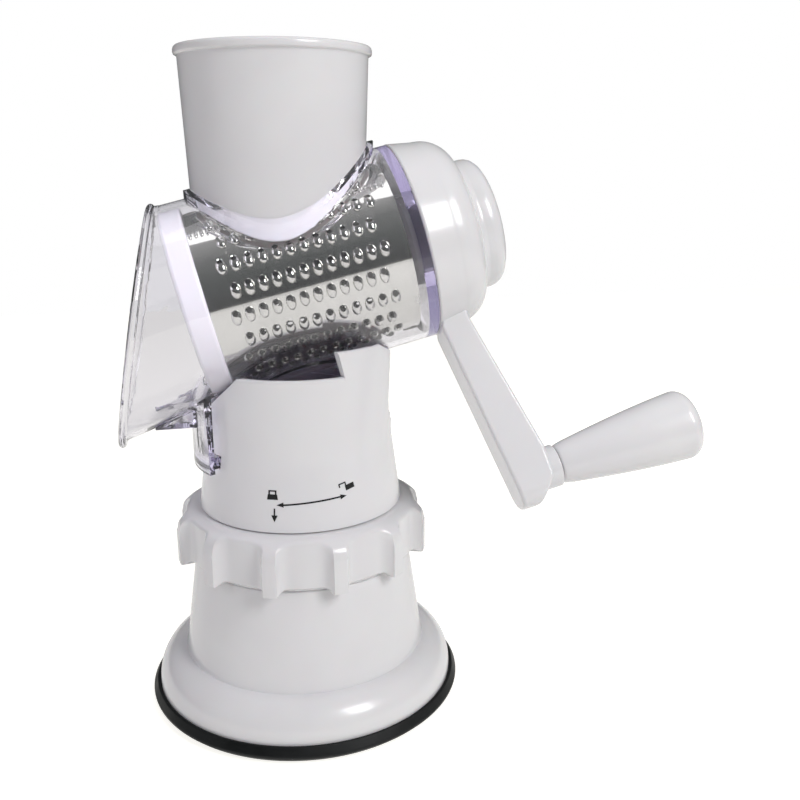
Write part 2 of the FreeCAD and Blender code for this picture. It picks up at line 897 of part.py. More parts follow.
def spindle_seat():
    return grip_end() - grip_cap_recess - grip_cap_thickness - spindle_head_height - 2.0


def grip():
    start = grip_start()
    end = grip_end()
    corner = arc_points(grip_end_radius - grip_end_rounding, end - grip_end_rounding, grip_end_rounding, 0, 90)
    swell = []
    for share in (0.25, 0.5, 0.75):
        curve = math.sin(math.pi / 2 * share)
        growth = (grip_end_radius - grip_root_radius) * (0.5 * share + 0.5 * curve)
        swell.append((grip_root_radius + growth, start + share * (grip_length - grip_end_rounding)))
    outline = [(0, start), (grip_root_radius - 0.6, start), (grip_root_radius, start + 0.8)] + swell + corner + [(0, end)]
    body = revolved(outline)
    bore = cylinder(spindle_radius + run_gap, start - 1, end)
    pocket = cylinder(spindle_head_radius + 1.2, spindle_seat() - grip_washer_thickness - seat_gap, end + 1)
    cap_seat = cylinder(grip_cap_radius, end - grip_cap_recess - grip_cap_thickness, end + 1)
    body = body.cut(bore).cut(pocket).cut(cap_seat)
    return at_grip(body)


def at_grip(shape):
    copy = shape.copy()
    copy.translate(Vector(grip_offset, 0, 0))
    return on_axis(turned(copy))


def grip_spindle():
    seat = spindle_seat()
    shank = cylinder(spindle_radius, arm_tip_back + 0.5, seat)
    head = cylinder(spindle_head_radius, seat, seat + spindle_head_height)
    key = hexagon(4.0, seat + 1.2, seat + spindle_head_height + 1)
    return at_grip(head.fuse(shank).cut(key))


def spindle_nut():
    seat = nut_seat()
    nut = hexagon(10.0, arm_tip_back + 1.0, seat).cut(cylinder(spindle_radius + press_gap, arm_tip_back, seat))
    return at_grip(nut)


def grip_washer():
    seat = spindle_seat()
    return at_grip(tube(spindle_head_radius, spindle_radius + press_gap, seat - grip_washer_thickness, seat))


def grip_end_cap():
    end = grip_end()
    top = end - grip_cap_recess
    return at_grip(cylinder(grip_cap_radius - press_gap, top - grip_cap_thickness, top))


nodes = {
    "suction_pad": suction_pad,
    "base_shell": base_shell,
    "column": column,
    "column_screws": column_screws,
    "lock_ring": lock_ring,
    "lifter": lifter,
    "cam_pin": cam_pin_body,
    "pad_stud": pad_stud,
    "return_spring": return_spring,
    "clear_housing": clear_housing,
    "hopper": hopper,
    "crank_bush": crank_bush,
    "drum_shell": drum_shell,
    "drum_rivets": drum_rivets,
    "drum_front_ring": drum_front_ring,
    "drum_rear_hub": drum_rear_hub,
    "drive_shaft": drive_shaft,
    "shaft_clip": shaft_clip,
    "shaft_washer": shaft_washer,
    "shaft_screw": shaft_screw,
    "crank_arm": crank_arm,
    "crank_cap": crank_cap,
    "grip": grip,
    "grip_spindle": grip_spindle,
    "spindle_nut": spindle_nut,
    "grip_washer": grip_washer,
    "grip_end_cap": grip_end_cap,
}

os.makedirs("parts", exist_ok=True)
for name, make in nodes.items():
    make().exportStep(os.path.join("parts", name + ".step"))
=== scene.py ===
import bmesh
import bpy
import json
import math
from mathutils import Matrix, Vector


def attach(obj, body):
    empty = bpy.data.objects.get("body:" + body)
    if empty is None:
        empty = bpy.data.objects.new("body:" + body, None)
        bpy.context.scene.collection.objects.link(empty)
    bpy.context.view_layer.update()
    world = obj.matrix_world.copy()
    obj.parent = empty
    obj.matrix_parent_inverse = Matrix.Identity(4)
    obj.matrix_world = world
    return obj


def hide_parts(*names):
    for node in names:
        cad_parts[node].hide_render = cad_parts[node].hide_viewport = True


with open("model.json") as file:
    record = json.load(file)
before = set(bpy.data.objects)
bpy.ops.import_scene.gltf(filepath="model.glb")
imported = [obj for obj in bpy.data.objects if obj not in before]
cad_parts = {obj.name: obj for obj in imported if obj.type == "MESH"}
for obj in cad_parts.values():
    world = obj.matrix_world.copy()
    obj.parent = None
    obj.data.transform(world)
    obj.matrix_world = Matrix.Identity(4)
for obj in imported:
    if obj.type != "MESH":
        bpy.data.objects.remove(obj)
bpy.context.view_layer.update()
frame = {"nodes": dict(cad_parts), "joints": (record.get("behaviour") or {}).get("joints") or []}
print("frame loaded")

mm = 0.001
nearly = 1e-6  # points closer than this many metres are one
nodes = frame["nodes"]
joints = {joint["name"]: joint for joint in frame["joints"]}

# the drum's axis: local Z runs towards the crank, local X points down
axisPoint = Vector(joints["crank_spin"]["pos_m"])
axisLine = Vector(joints["crank_spin"]["axis"]).normalized()
axisAcross = Vector((0, 1, 0))
axisDown = axisAcross.cross(axisLine)
onAxis = Matrix((axisDown, axisAcross, axisLine)).transposed().to_4x4()
onAxis.translation = axisPoint
tilt = math.asin(axisLine.z)
axisHeight = axisPoint.z / mm
gripOnAxis = onAxis.inverted() @ Vector(joints["grip_spin"]["pos_m"])
armTurn = math.atan2(gripOnAxis.y, gripOnAxis.x)
gripOffset = math.hypot(gripOnAxis.x, gripOnAxis.y) / mm
onArm = onAxis @ Matrix.Rotation(armTurn, 4, "Z")
onGrip = onArm @ Matrix.Translation((gripOffset * mm, 0, 0))


def link(tree, source, *steps):
    # each step is an output, the next node and its socket
    for output, target, socket in zip(steps[::3], steps[1::3], steps[2::3]):
        tree.links.new(source.outputs[output], target.inputs[socket])
        source = target


def addNode(tree, kind, values=None, operation=None, clamp=False):
    # shader node with the constants of its sockets and, for a sum, its operation
    node = tree.nodes.new(kind)
    if operation:
        node.operation = operation
    if clamp:
        node.use_clamp = True
    for socket, value in (values or {}).items():
        node.inputs[socket].default_value = value
    return node


def newGroup(name, scales, outputs):
    # node group that takes a vector and a few scales, and gives plain values
    group = bpy.data.node_groups.new(name, "ShaderNodeTree")
    group.interface.new_socket(name="Vector", in_out="INPUT", socket_type="NodeSocketVector")
    for label, value in scales.items():
        socket = group.interface.new_socket(name=label, in_out="INPUT", socket_type="NodeSocketFloat")
        socket.default_value = value
    for label in outputs:
        group.interface.new_socket(name=label, in_out="OUTPUT", socket_type="NodeSocketFloat")
    return group, group.nodes.new("NodeGroupInput"), group.nodes.new("NodeGroupOutput")


def makeMouldedSkin():
    # soft flow marks and a fine orange peel, for anything injection-moulded
    group, start, end = newGroup("mouldedSkin", {"Flow Scale": 18.0, "Peel Scale": 900.0}, ["Flow", "Height"])
    flow = addNode(group, "ShaderNodeTexNoise", {"Detail": 3.0, "Distortion": 0.6})
    peel = addNode(group, "ShaderNodeTexNoise", {"Detail": 2.0})
    shape = addNode(group, "ShaderNodeMapRange", {"From Min": 0.35, "From Max": 0.65})
    heights = addNode(group, "ShaderNodeMath", {1: 0.4}, "MULTIPLY_ADD")
    link(group, start, "Vector", flow, "Vector", "Fac", shape, "Value", "Result", end, "Flow")
    link(group, start, "Flow Scale", flow, "Scale", "Fac", heights, 0, "Value", end, "Height")
    link(group, start, "Vector", peel, "Vector", "Fac", heights, 2)
    link(group, start, "Peel Scale", peel, "Scale")
    return group


def makeRubbedMetal():
    # drawn lines along one direction with a cloudy polish over them
    group, start, end = newGroup("rubbedMetal", {"Line Scale": 1.0, "Cloud Scale": 60.0}, ["Cloud", "Lines"])
    stretch = addNode(group, "ShaderNodeMapping", {"Scale": (120.0, 120.0, 4200.0)})
    lines = addNode(group, "ShaderNodeTexNoise", {"Detail": 2.0})
    cloud = addNode(group, "ShaderNodeTexNoise", {"Detail": 4.0})
    link(group, start, "Vector", stretch, "Vector", "Vector", lines, "Vector", "Fac", end, "Lines")
    link(group, start, "Line Scale", lines, "Scale")
    link(group, start, "Vector", cloud, "Vector", "Fac", end, "Cloud")
    link(group, start, "Cloud Scale", cloud, "Scale")
    return group


mouldedSkin = makeMouldedSkin()
rubbedMetal = makeRubbedMetal()


def newMaterial(name, settings, turn=None):
    # principled shader with its constants set, and a mapping that sets the pattern on the piece
    material = bpy.data.materials.new(name)
    material.use_nodes = True
    tree = material.node_tree
    shader = tree.nodes["Principled BSDF"]
    for socket, value in settings.items():
        shader.inputs[socket].default_value = value
    place = tree.nodes.new("ShaderNodeTexCoord")
    mapping = tree.nodes.new("ShaderNodeMapping")
    if turn:
        mapping.inputs["Rotation"].default_value = turn
    link(tree, place, "Object", mapping, "Vector")
    return material, tree, shader, mapping


def addGroup(tree, group, mapping, values):
    node = tree.nodes.new("ShaderNodeGroup")
    node.node_tree = group
    for socket, value in values.items():
        node.inputs[socket].default_value = value
    link(tree, mapping, "Vector", node, "Vector")
    return node


def addTone(tree, source, output, low, high):
    tone = addNode(tree, "ShaderNodeMix")
    tone.data_type = "RGBA"
    tone.inputs[6].default_value = (*low, 1.0)
    tone.inputs[7].default_value = (*high, 1.0)
    link(tree, source, output, tone, 0)
    return tone


def addRange(tree, source, output, low, high):
    spread = addNode(tree, "ShaderNodeMapRange", {"To Min": low, "To Max": high})
    link(tree, source, output, spread, "Value")
    return spread


def addBump(tree, source, output, shader, distance, strength):
    bump = addNode(tree, "ShaderNodeBump", {"Distance": distance, "Strength": strength})
    link(tree, source, output, bump, "Height")
    link(tree, bump, "Normal", shader, "Normal")


def mouldedPlastic(name, look):
    settings = {
        "Metallic": 0.0,
        "IOR": look["ior"],
        "Specular IOR Level": look["specular"],
        "Subsurface Weight": look["softness"],
        "Subsurface Scale": 0.004,
        "Coat Weight": look["coat"],
        "Coat Roughness": 0.06,
    }
    material, tree, shader, mapping = newMaterial(name, settings)
    skin = addGroup(tree, mouldedSkin, mapping, {"Flow Scale": look["flow"], "Peel Scale": look["peel"]})
    tone = addTone(tree, skin, "Flow", look["dark"], look["light"])
    link(tree, tone, 2, shader, "Base Color")
    rough = addRange(tree, skin, "Flow", *look["rough"])
    link(tree, rough, "Result", shader, "Roughness")
    addBump(tree, skin, "Height", shader, look["bump"], look["bumpStrength"])
    return material


glossWhite = {
    "dark": (0.735, 0.722, 0.745),
    "light": (0.775, 0.765, 0.780),
    "rough": (0.17, 0.25),
    "ior": 1.53,
    "specular": 0.5,
    "softness": 0.06,
    "coat": 0.15,
    "flow": 14.0,
    "peel": 420.0,
    "bump": 0.0002,
    "bumpStrength": 0.05,
}
acetal = dict(glossWhite, dark=(0.66, 0.65, 0.63), light=(0.72, 0.71, 0.69), rough=(0.35, 0.5), coat=0.0, flow=40.0)
blackMould = dict(
    glossWhite,
    dark=(0.003, 0.0035, 0.004),
    light=(0.006, 0.007, 0.008),
    specular=0.3,
    rough=(0.42, 0.6),
    softness=0.0,
    coat=0.0,
    flow=60.0,
    peel=1600.0,
    bumpStrength=0.25,
)
inkLook = dict(blackMould, dark=(0.006, 0.006, 0.007), light=(0.012, 0.012, 0.013), rough=(0.3, 0.4), bumpStrength=0.05)
whitePlastic = mouldedPlastic("whitePlastic", glossWhite)
bearingPlastic = mouldedPlastic("bearingPlastic", acetal)
footRubber = mouldedPlastic("footRubber", blackMould)
markInk = mouldedPlastic("markInk", inkLook)


def makeClearPlastic():
    # water-clear styrene: the tint lies in its thickness, and lamps reach what stands behind it
    look = {"tint": (0.62, 0.58, 0.76, 1.0), "density": 40.0, "rough": (0.008, 0.035), "shade": (0.93, 0.92, 0.97, 1.0)}
    settings = {
        "Base Color": (0.985, 0.98, 0.99, 1.0),
        "Metallic": 0.0,
        "IOR": 1.46,
        "Transmission Weight": 0.99,
    }
    material, tree, shader, mapping = newMaterial("clearPlastic", settings)
    skin = addGroup(tree, mouldedSkin, mapping, {"Flow Scale": 22.0, "Peel Scale": 160.0})
    rough = addRange(tree, skin, "Flow", *look["rough"])
    link(tree, rough, "Result", shader, "Roughness")
    addBump(tree, skin, "Height", shader, 0.0004, 0.05)
    rays = addNode(tree, "ShaderNodeLightPath")
    through = addNode(tree, "ShaderNodeBsdfTransparent", {"Color": look["shade"]})
    chooser = addNode(tree, "ShaderNodeMixShader")
    absorb = addNode(tree, "ShaderNodeVolumeAbsorption", {"Color": look["tint"], "Density": look["density"]})
    output = tree.nodes["Material Output"]
    link(tree, rays, "Is Shadow Ray", chooser, 0, "Shader", output, "Surface")
    link(tree, shader, "BSDF", chooser, 1)
    link(tree, through, "BSDF", chooser, 2)
    link(tree, absorb, "Volume", output, "Volume")
    return material


def metalFinish(name, look):
    settings = {"Metallic": 1.0, "Specular IOR Level": 0.5, "IOR": 1.5}
    material, tree, shader, mapping = newMaterial(name, settings, look.get("turn"))
    rub = addGroup(tree, rubbedMetal, mapping, {"Line Scale": look["lineScale"], "Cloud Scale": look["cloudScale"]})
    tone = addTone(tree, rub, "Cloud", look["dark"], look["light"])
    link(tree, tone, 2, shader, "Base Color")
    rough = addRange(tree, rub, "Cloud", *look["rough"])
    link(tree, rough, "Result", shader, "Roughness")
    addBump(tree, rub, "Lines", shader, look["bump"], look["bumpStrength"])
    # the drum's inner face gets a painted shade colour, much darker than the polished outside
    if "inside" in look:
        paintShadeInside(tree, shader, mapping, tone, look)
    return material


def paintShadeInside(tree, shader, mapping, tone, look):
    # painted shade: the rolled sheet's inner face is coloured much darker, standing in for the shade inside the drum
    mapping.inputs["Location"].default_value = -(Matrix.Rotation(look["turn"][1], 3, "Y") @ axisPoint)
    flat = addNode(tree, "ShaderNodeVectorMath", {1: (1.0, 1.0, 0.0)}, "MULTIPLY")
    reach = addNode(tree, "ShaderNodeVectorMath", operation="LENGTH")
    outer = addNode(tree, "ShaderNodeMapRange", {"From Min": look["insideFrom"], "From Max": look["insideTo"]})
    link(tree, mapping, "Vector", flat, 0, "Vector", reach, 0, "Value", outer, "Value")
    skin = addTone(tree, outer, "Result", look["inside"], look["light"])
    link(tree, tone, 2, skin, 7, 2, shader, "Base Color")


brightSteel = {
    "dark": (0.60, 0.60, 0.565),
    "light": (0.72, 0.72, 0.69),
    "rough": (0.05, 0.11),
    "lineScale": 0.5,
    "cloudScale": 45.0,
    "bump": 0.00002,
    "bumpStrength": 0.12,
    "turn": (0.0, -(math.pi / 2 - tilt), 0.0),
}
# the dark inside colour is painted shade for the drum's hollow, not a different finish of the steel
polishedSheet = dict(brightSteel, insideFrom=0.03195, insideTo=0.03215, inside=(0.075, 0.073, 0.068))
hardware = dict(brightSteel, rough=(0.22, 0.38), cloudScale=180.0, bump=0.00004, bumpStrength=0.3)
springWire = dict(hardware, dark=(0.38, 0.38, 0.40), light=(0.50, 0.50, 0.52), turn=(0.0, 0.0, 0.0))
clearPlastic = makeClearPlastic()
drumSteel = metalFinish("drumSteel", polishedSheet)
plainSteel = metalFinish("plainSteel", hardware)
springSteel = metalFinish("springSteel", springWire)
print("materials made")


def finishPiece(name, bm, material, body, replaced=(), sharpAngle=38, weighted=True):
    mesh = bpy.data.meshes.new(name)
    bm.to_mesh(mesh)
    bm.free()
    piece = bpy.data.objects.new(name, mesh)
    bpy.context.scene.collection.objects.link(piece)
    mesh.materials.append(material)
    for polygon in mesh.polygons:
        polygon.use_smooth = True
    mesh.set_sharp_from_angle(angle=math.radians(sharpAngle))
    if weighted:
        soften = piece.modifiers.new("evenNormals", "WEIGHTED_NORMAL")
        soften.keep_sharp = True
    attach(piece, body)
    if replaced:
        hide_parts(*replaced)
    return piece


def faceOutwards(bm):
    bmesh.ops.recalc_face_normals(bm, faces=bm.faces[:])


def moveAll(bm, place):
    bmesh.ops.transform(bm, matrix=place, verts=bm.verts[:])


def tidyNormals(bm):
    bmesh.ops.remove_doubles(bm, verts=bm.verts[:], dist=nearly)
    faceOutwards(bm)


def spinRound(bm, steps):
    bmesh.ops.spin(
        bm, geom=bm.verts[:] + bm.edges[:], cent=(0, 0, 0), axis=(0, 0, 1), angle=2 * math.pi,
        steps=steps, use_merge=True,
    )
    tidyNormals(bm)


def extrudeBy(bm, faces, shift):
    # pushes flat faces out into a solid, and gives the new points
    made = bmesh.ops.extrude_face_region(bm, geom=faces)["geom"]
    far = [item for item in made if isinstance(item, bmesh.types.BMVert)]
    bmesh.ops.translate(bm, verts=far, vec=shift)
    return far


def cutAway(bm, point, normal):
    everything = bm.verts[:] + bm.edges[:] + bm.faces[:]
    bmesh.ops.bisect_plane(bm, geom=everything, plane_co=point, plane_no=normal, clear_outer=True)


def smooth(share):
    return share * share * (3 - 2 * share)


def lathe(outline, steps=128, place=None, into=None):
    # outline rows are radius, height and, where a corner is rounded, how far its rounding reaches
    bm = bmesh.new()
    verts = [bm.verts.new((row[0] * mm, 0, row[1] * mm)) for row in outline]
    for first, second in zip(verts, verts[1:] + verts[:1]):
        bm.edges.new((first, second))
    for edge in [edge for edge in bm.edges if all(vert.co.x < nearly for vert in edge.verts)]:
        bm.edges.remove(edge)
    for vert, row in zip(verts, outline):
        if len(row) > 2:
            bmesh.ops.bevel(
                bm, geom=[vert], offset=row[2] * mm, segments=5, profile=0.5, affect="VERTICES",
                clamp_overlap=True, material=-1,
            )
    spinRound(bm, steps)
    if place:
        moveAll(bm, place)
    return joinInto(bm, into)


def joinInto(bm, into):
    if into is None:
        return bm
    holder = bpy.data.meshes.new("joining")
    bm.to_mesh(holder)
    bm.free()
    into.from_mesh(holder)
    bpy.data.meshes.remove(holder)
    return into


def ringStack(levels, segments, centreX=0.0, warp=None):
    # rings one on another: each level gives a radius and a height, and a turn where it is a function
    bm = bmesh.new()
    bmesh.ops.create_circle(bm, segments=segments, radius=1.0)
    angles = {vert: math.atan2(vert.co.y, vert.co.x) for vert in bm.verts}

    def lay(verts, level):
        for vert in verts:
            angle = angles[vert]
            radius, height, shift = level(angle) if callable(level) else (*level, 0.0)
            seen = (warp(angle) if warp else angle) + shift
            vert.co = Vector((radius * math.cos(seen) + centreX, radius * math.sin(seen), height)) * mm

    ring = bm.verts[:]
    edges = bm.edges[:]
    firstEdges = edges
    lay(ring, levels[0])
    for level in levels[1:]:
        before = {vert.co.to_tuple(9): angles[vert] for vert in ring}
        made = bmesh.ops.extrude_edge_only(bm, edges=edges)["geom"]
        ring = [item for item in made if isinstance(item, bmesh.types.BMVert)]
        ringSet = set(ring)
        for vert in ring:
            angles[vert] = before[vert.co.to_tuple(9)]
        edges = [item for item in made if isinstance(item, bmesh.types.BMEdge) and set(item.verts) <= ringSet]
        lay(ring, level)
    bmesh.ops.bridge_loops(bm, edges=firstEdges + edges)
    faceOutwards(bm)
    return bm


def quarter(fromR, fromZ, toR, toZ, steps):
    # quarter of an ellipse that leaves upright and arrives level
    rows = []
    for step in range(steps + 1):
        angle = math.pi / 2 * step / steps
        rows.append((toR + (fromR - toR) * math.cos(angle), fromZ + (toZ - fromZ) * math.sin(angle)))
    return rows


def softMin(first, second, blend):
    gap = max(blend - abs(first - second), 0.0) / blend
    return min(first, second) - gap * gap * blend * 0.25


pad = {
    "radius": 65.0, "lipBore": 61.9, "lipHeight": 7.0, "sheet": 3.0, "foot": 3.2, "boss": 13.0, "bossTop": 13.5,
    "studRadius": 3.3, "headRadius": 9.3, "headTop": 5.4,
}


def makeSuctionPad():
    outline = [
        (0, 0),
        (pad["radius"] - pad["foot"], 0, 1.4),
        (pad["radius"], pad["foot"], 1.0),
        (pad["lipBore"] + 0.9, pad["lipHeight"], 0.6),
        (pad["lipBore"], pad["lipHeight"] - 0.2, 0.2),
        (pad["lipBore"], pad["sheet"], 0.5),
        (pad["boss"], pad["sheet"], 0.8),
        (pad["boss"], pad["bossTop"], 0.8),
        (pad["studRadius"], pad["bossTop"]),
        (pad["studRadius"], pad["headTop"]),
        (pad["headRadius"], pad["headTop"]),
        (pad["headRadius"], pad["sheet"]),
        (0, pad["sheet"]),
    ]
    bm = lathe(outline, steps=160)
    finishPiece("suctionPad", bm, footRubber, "stand", ["suction_pad"])


makeSuctionPad()

base = {
    "rim": 61.6, "foot": 3.0, "edge": 7.4, "waist": 49.7, "waistHeight": 20.7, "deck": 44.0, "deckHeight": 60.6,
    "deckThick": 3.0, "liftBore": 8.1, "wall": 2.5, "rimWall": 5.0,
}


def makeBaseShell():
    rim, waist, deck, wall = base["rim"], base["waist"], base["deck"], base["wall"]
    deckTop = base["deckHeight"]
    deckUnder = deckTop - base["deckThick"]
    outline = [(rim, base["foot"])] + quarter(rim, base["edge"], waist + 0.3, base["waistHeight"] + 0.1, 12)
    outline += [(waist - 0.1, base["waistHeight"] + 1.0), (deck, deckTop, 0.7), (base["liftBore"], deckTop, 0.3)]
    outline += [(base["liftBore"], deckUnder), (deck - wall, deckUnder, 0.6)]
    outline += [(waist - wall, base["waistHeight"] - wall, 0.8)]
    outline += [(rim - base["rimWall"], base["edge"]), (rim - base["rimWall"], base["foot"])]
    bm = lathe(outline, steps=160)
    finishPiece("baseShell", bm, whitePlastic, "stand", ["base_shell"])


makeBaseShell()
print("base made")

ringLook = {
    "bore": 39.5, "radius": 51.3, "valley": 46.8, "bottom": 61.0, "top": 82.2, "lobes": 12, "phase": 10.0,
    "flank": 6.0, "valleyHalf": 5.6, "shoulder": 74.2, "collar": 41.3, "valleyRise": 1.7, "footBore": 44.2,
    "uncut": 99.0, "lobeBlend": 2.2, "capBlend": 1.6, "riseUnder": 50.6, "riseOver": 3.0,
}
halfPitch = 180.0 / ringLook["lobes"]


def lobeColumns():
    # angle from the lobe's middle and radius, for the columns of half a lobe and half a valley
    columns = [(angle, ringLook["uncut"]) for angle in (0.0, 0.8, 1.5)]
    flank, valley, valleyHalf = ringLook["flank"], ringLook["valley"], ringLook["valleyHalf"]
    for step in range(9):
        arc = math.radians(88 - 11 * step)
        radial = valley + flank - flank * math.cos(arc)
        away = math.degrees(math.atan2(flank * math.sin(arc), radial))
        columns.append((halfPitch - valleyHalf - away, radial))
    for share in (0.25, 0.5, 0.75, 1.0):
        columns.append((halfPitch - valleyHalf * (1 - share), valley))
    return columns


def makeLockRing():
    columns = lobeColumns()
    perHalf = len(columns) - 1
    perLobe = 2 * perHalf
    segments = ringLook["lobes"] * perLobe
    step = 2 * math.pi / segments

    def radiusAt(angle):
        # a lobe's second half mirrors its first
        index = round(angle / step) % perLobe
        return columns[min(index, perLobe - index)][1]

    def warp(angle):
        lobe, within = divmod(round(angle / step), perLobe)
        if within > perHalf:
            lobe, away = lobe + 1, -columns[perLobe - within][0]
        else:
            away = columns[within][0]
        return math.radians(ringLook["phase"] + 2 * halfPitch * lobe + away)

    def skin(height, cap=ringLook["uncut"], inset=0.0, rise=0.0):
        def level(angle):
            low = softMin(radiusAt(angle), ringLook["radius"], ringLook["lobeBlend"])
            out = softMin(low, cap, ringLook["capBlend"]) if cap < ringLook["radius"] else min(low, cap)
            share = max(0.0, min(1.0, (ringLook["riseUnder"] - out) / ringLook["riseOver"]))
            return out - inset, height + rise * smooth(share), 0.0

        return level

    rise = ringLook["valleyRise"]
    bottom, top = ringLook["bottom"], ringLook["top"]
    levels = [
        (ringLook["bore"], bottom),
        (ringLook["footBore"], bottom),
        (ringLook["footBore"] + 0.4, bottom + 0.1),
        skin(bottom + 0.02, inset=0.75, rise=rise),
        skin(bottom + 0.2, inset=0.2, rise=rise),
        skin(bottom + 0.75, rise=rise),
        skin(bottom + 4.0),
        skin(bottom + 8.0),
        skin(ringLook["shoulder"] - 2.0),
    ]
    for radius, height in quarter(ringLook["radius"], ringLook["shoulder"], ringLook["collar"], top, 12)[:-1]:
        levels.append(skin(height, radius + 0.001))  # the first one just clears the lobes
    levels += [(ringLook["collar"], top), (ringLook["bore"], top)]
    bm = ringStack(levels, segments, warp=warp)
    finishPiece("lockRing", bm, whitePlastic, "lock_ring", ["lock_ring"], sharpAngle=50)


makeLockRing()
print("lock ring made")

columnLook = {
    "sleeve": 39.2, "collar": 40.9, "collarHeight": 82.6, "neck": 37.3, "neckHeight": 110.0, "rim": 37.6,
    "rimHigh": axisHeight - 24.2, "rimLow": axisHeight - 33.7, "stepX": 14.3, "stepGap": 0.002, "stepLean": 4.3,
    "leanReach": 16.0, "cradle": 38.5, "flareFrom": -41.0, "flareSlope": 0.138, "blendFrom": 112.0, "alike": 0.667,
    "scoopDepth": 3.2, "scoopLow": axisHeight - 60.2, "scoopHalf": 18.0, "scoopSide": 2.5, "scoopRise": 9.0,
    "scoopFull": 12.0, "scoopFade": 24.0, "slotLow": 103.0, "slotHigh": 108.1, "slotHalf": 33.0, "wall": 2.5,
    "foot": 60.6, "floorTop": 63.6, "floorBore": 30.2, "sleeveBore": 36.7, "collarBore": 35.7, "edge": 0.9,
}


def columnRadius(height):
    look = columnLook
    if height < look["neckHeight"]:
        share = (height - look["collarHeight"]) / (look["neckHeight"] - look["collarHeight"])
        return look["collar"] + (look["neck"] - look["collar"]) * share
    share = (height - look["neckHeight"]) / (look["rimHigh"] - look["neckHeight"])
    return look["neck"] + (look["rim"] - look["neck"]) * share


def cradleHeight(x, y):
    # underside of the housing over a point of the column's wall, where the housing reaches it
    level = axisHeight
    for attempt in range(3):
        along = x * math.cos(tilt) + (level - axisHeight) * math.sin(tilt)
        reach = columnLook["cradle"] + max(0.0, columnLook["flareFrom"] - along) * columnLook["flareSlope"]
        if abs(y) >= reach:
            return math.inf
        level = axisHeight + (x * math.sin(tilt) - math.sqrt(reach * reach - y * y)) / math.cos(tilt)
    return level


def makeColumn():
    look = columnLook
    segments = 180
    step = 2 * math.pi / segments
    stepAngle = math.acos(look["stepX"] / look["rim"])

    def warp(angle):
        # the two columns of points beside each step in the rim close up on it
        for sign in (-1, 1):
            gap = abs(angle) - stepAngle
            if sign * angle > 0 and abs(gap) < 0.75 * step:
                return sign * (stepAngle + math.copysign(look["stepGap"], gap))
        return angle

    def isLow(angle):
        return abs(warp(angle)) > stepAngle

    def rimHeight(angle, radius):
        seen = warp(angle)
        rim = look["rimLow"] if isLow(angle) else look["rimHigh"]
        return min(rim, cradleHeight(radius * math.cos(seen), radius * math.sin(seen)))

    def scoop(angle, height, radius):
        # thumb scoop in the rear face
        ahead = math.cos(warp(angle))
        y = radius * math.sin(warp(angle))
        up = height - look["scoopLow"]
        if ahead < 0 or abs(y) > look["scoopHalf"] or up <= 0:
            return radius
        fade = max(0.0, min(1.0, (up - look["scoopFull"]) / look["scoopFade"]))
        deep = min(1.0, up / look["scoopRise"]) * (1.0 - 0.75 * fade)
        edge = min(1.0, (look["scoopHalf"] - abs(y)) / look["scoopSide"])
        flat = (look["neck"] - look["scoopDepth"] * deep) / max(0.8, ahead)
        return radius + (min(radius, flat) - radius) * smooth(edge)

    def lean(angle, height, radius):
        # the tall side overhangs the notch a little
        seen = warp(angle)
        beyond = radius * math.cos(seen) - look["stepX"]
        if isLow(angle) or height <= look["rimLow"] or beyond > look["leanReach"]:
            return 0.0
        up = (height - look["rimLow"]) / (look["rimHigh"] - look["rimLow"])
        return math.copysign(look["stepLean"] * up * (1.0 - beyond / look["leanReach"]) / radius, seen)

    def fixed(height, wall=0.0):
        return lambda angle: (scoop(angle, height, columnRadius(height)) - wall, height, 0.0)

    def shared(share, wall=0.0, drop=0.0, inset=0.0):
        def level(angle):
            top = rimHeight(angle, columnRadius(look["rimHigh"]) - wall) - drop
            # both sides of the step rise alike until just under the low rim
            base = min(look["rimLow"] - 2 * look["edge"], top - look["edge"])
            if share <= look["alike"]:
                height = look["blendFrom"] + (base - look["blendFrom"]) * share / look["alike"]
            else:
                height = base + (top - base) * (share - look["alike"]) / (1 - look["alike"])
            radius = scoop(angle, height, columnRadius(height) - wall)
            return radius - inset, height, lean(angle, height, radius)

        return level

    wall, edge = look["wall"], look["edge"]
    low, high = look["slotLow"], look["slotHigh"]
    levels = [
        (look["sleeve"], look["foot"]),
        (look["sleeve"], look["collarHeight"] - 0.3),
        (look["collar"] - 0.5, look["collarHeight"]),
        (look["collar"] - 0.1, look["collarHeight"] + 0.2),
    ]
    levels += [fixed(height) for height in (83.3, 90.0, 96.0, low, high, look["blendFrom"])]
    levels += [shared(index / 12.0, drop=edge) for index in range(1, 13)]
    levels += [shared(1.0, drop=0.3, inset=0.15), shared(1.0, inset=0.8)]
    levels += [shared(1.0, wall=wall, inset=-0.6), shared(1.0, wall=wall, drop=0.3)]
    levels += [shared(index / 12.0, wall=wall, drop=edge) for index in (10, 7, 4, 2)]
    levels += [
        fixed(look["blendFrom"], wall=wall),
        fixed(high, wall=wall),
        fixed(low, wall=wall),
        fixed(90.0, wall=wall + 1.2),
        (look["collarBore"], look["collarHeight"] - wall),
        (look["sleeveBore"], look["floorTop"] + 2.0),
        (look["sleeveBore"], look["floorTop"]),
        (look["floorBore"], look["floorTop"]),
        (look["floorBore"], look["foot"]),
    ]
    bm = ringStack(levels, segments, warp=warp)
    # window that the housing's catch springs into
    half = math.radians(look["slotHalf"])
    window = []
    for face in bm.faces:
        middle = face.calc_center_median()
        inSlot = low * mm < middle.z < high * mm
        if inSlot and abs(abs(math.atan2(middle.y, middle.x)) - math.pi) < half:
            window.append(face)
    bmesh.ops.delete(bm, geom=window, context="FACES")
    border = [edge for edge in bm.edges if edge.is_boundary]
    bmesh.ops.bridge_loops(bm, edges=border)
    faceOutwards(bm)
    finishPiece("column", bm, whitePlastic, "stand", ["column"], sharpAngle=45)


makeColumn()
print("column made")

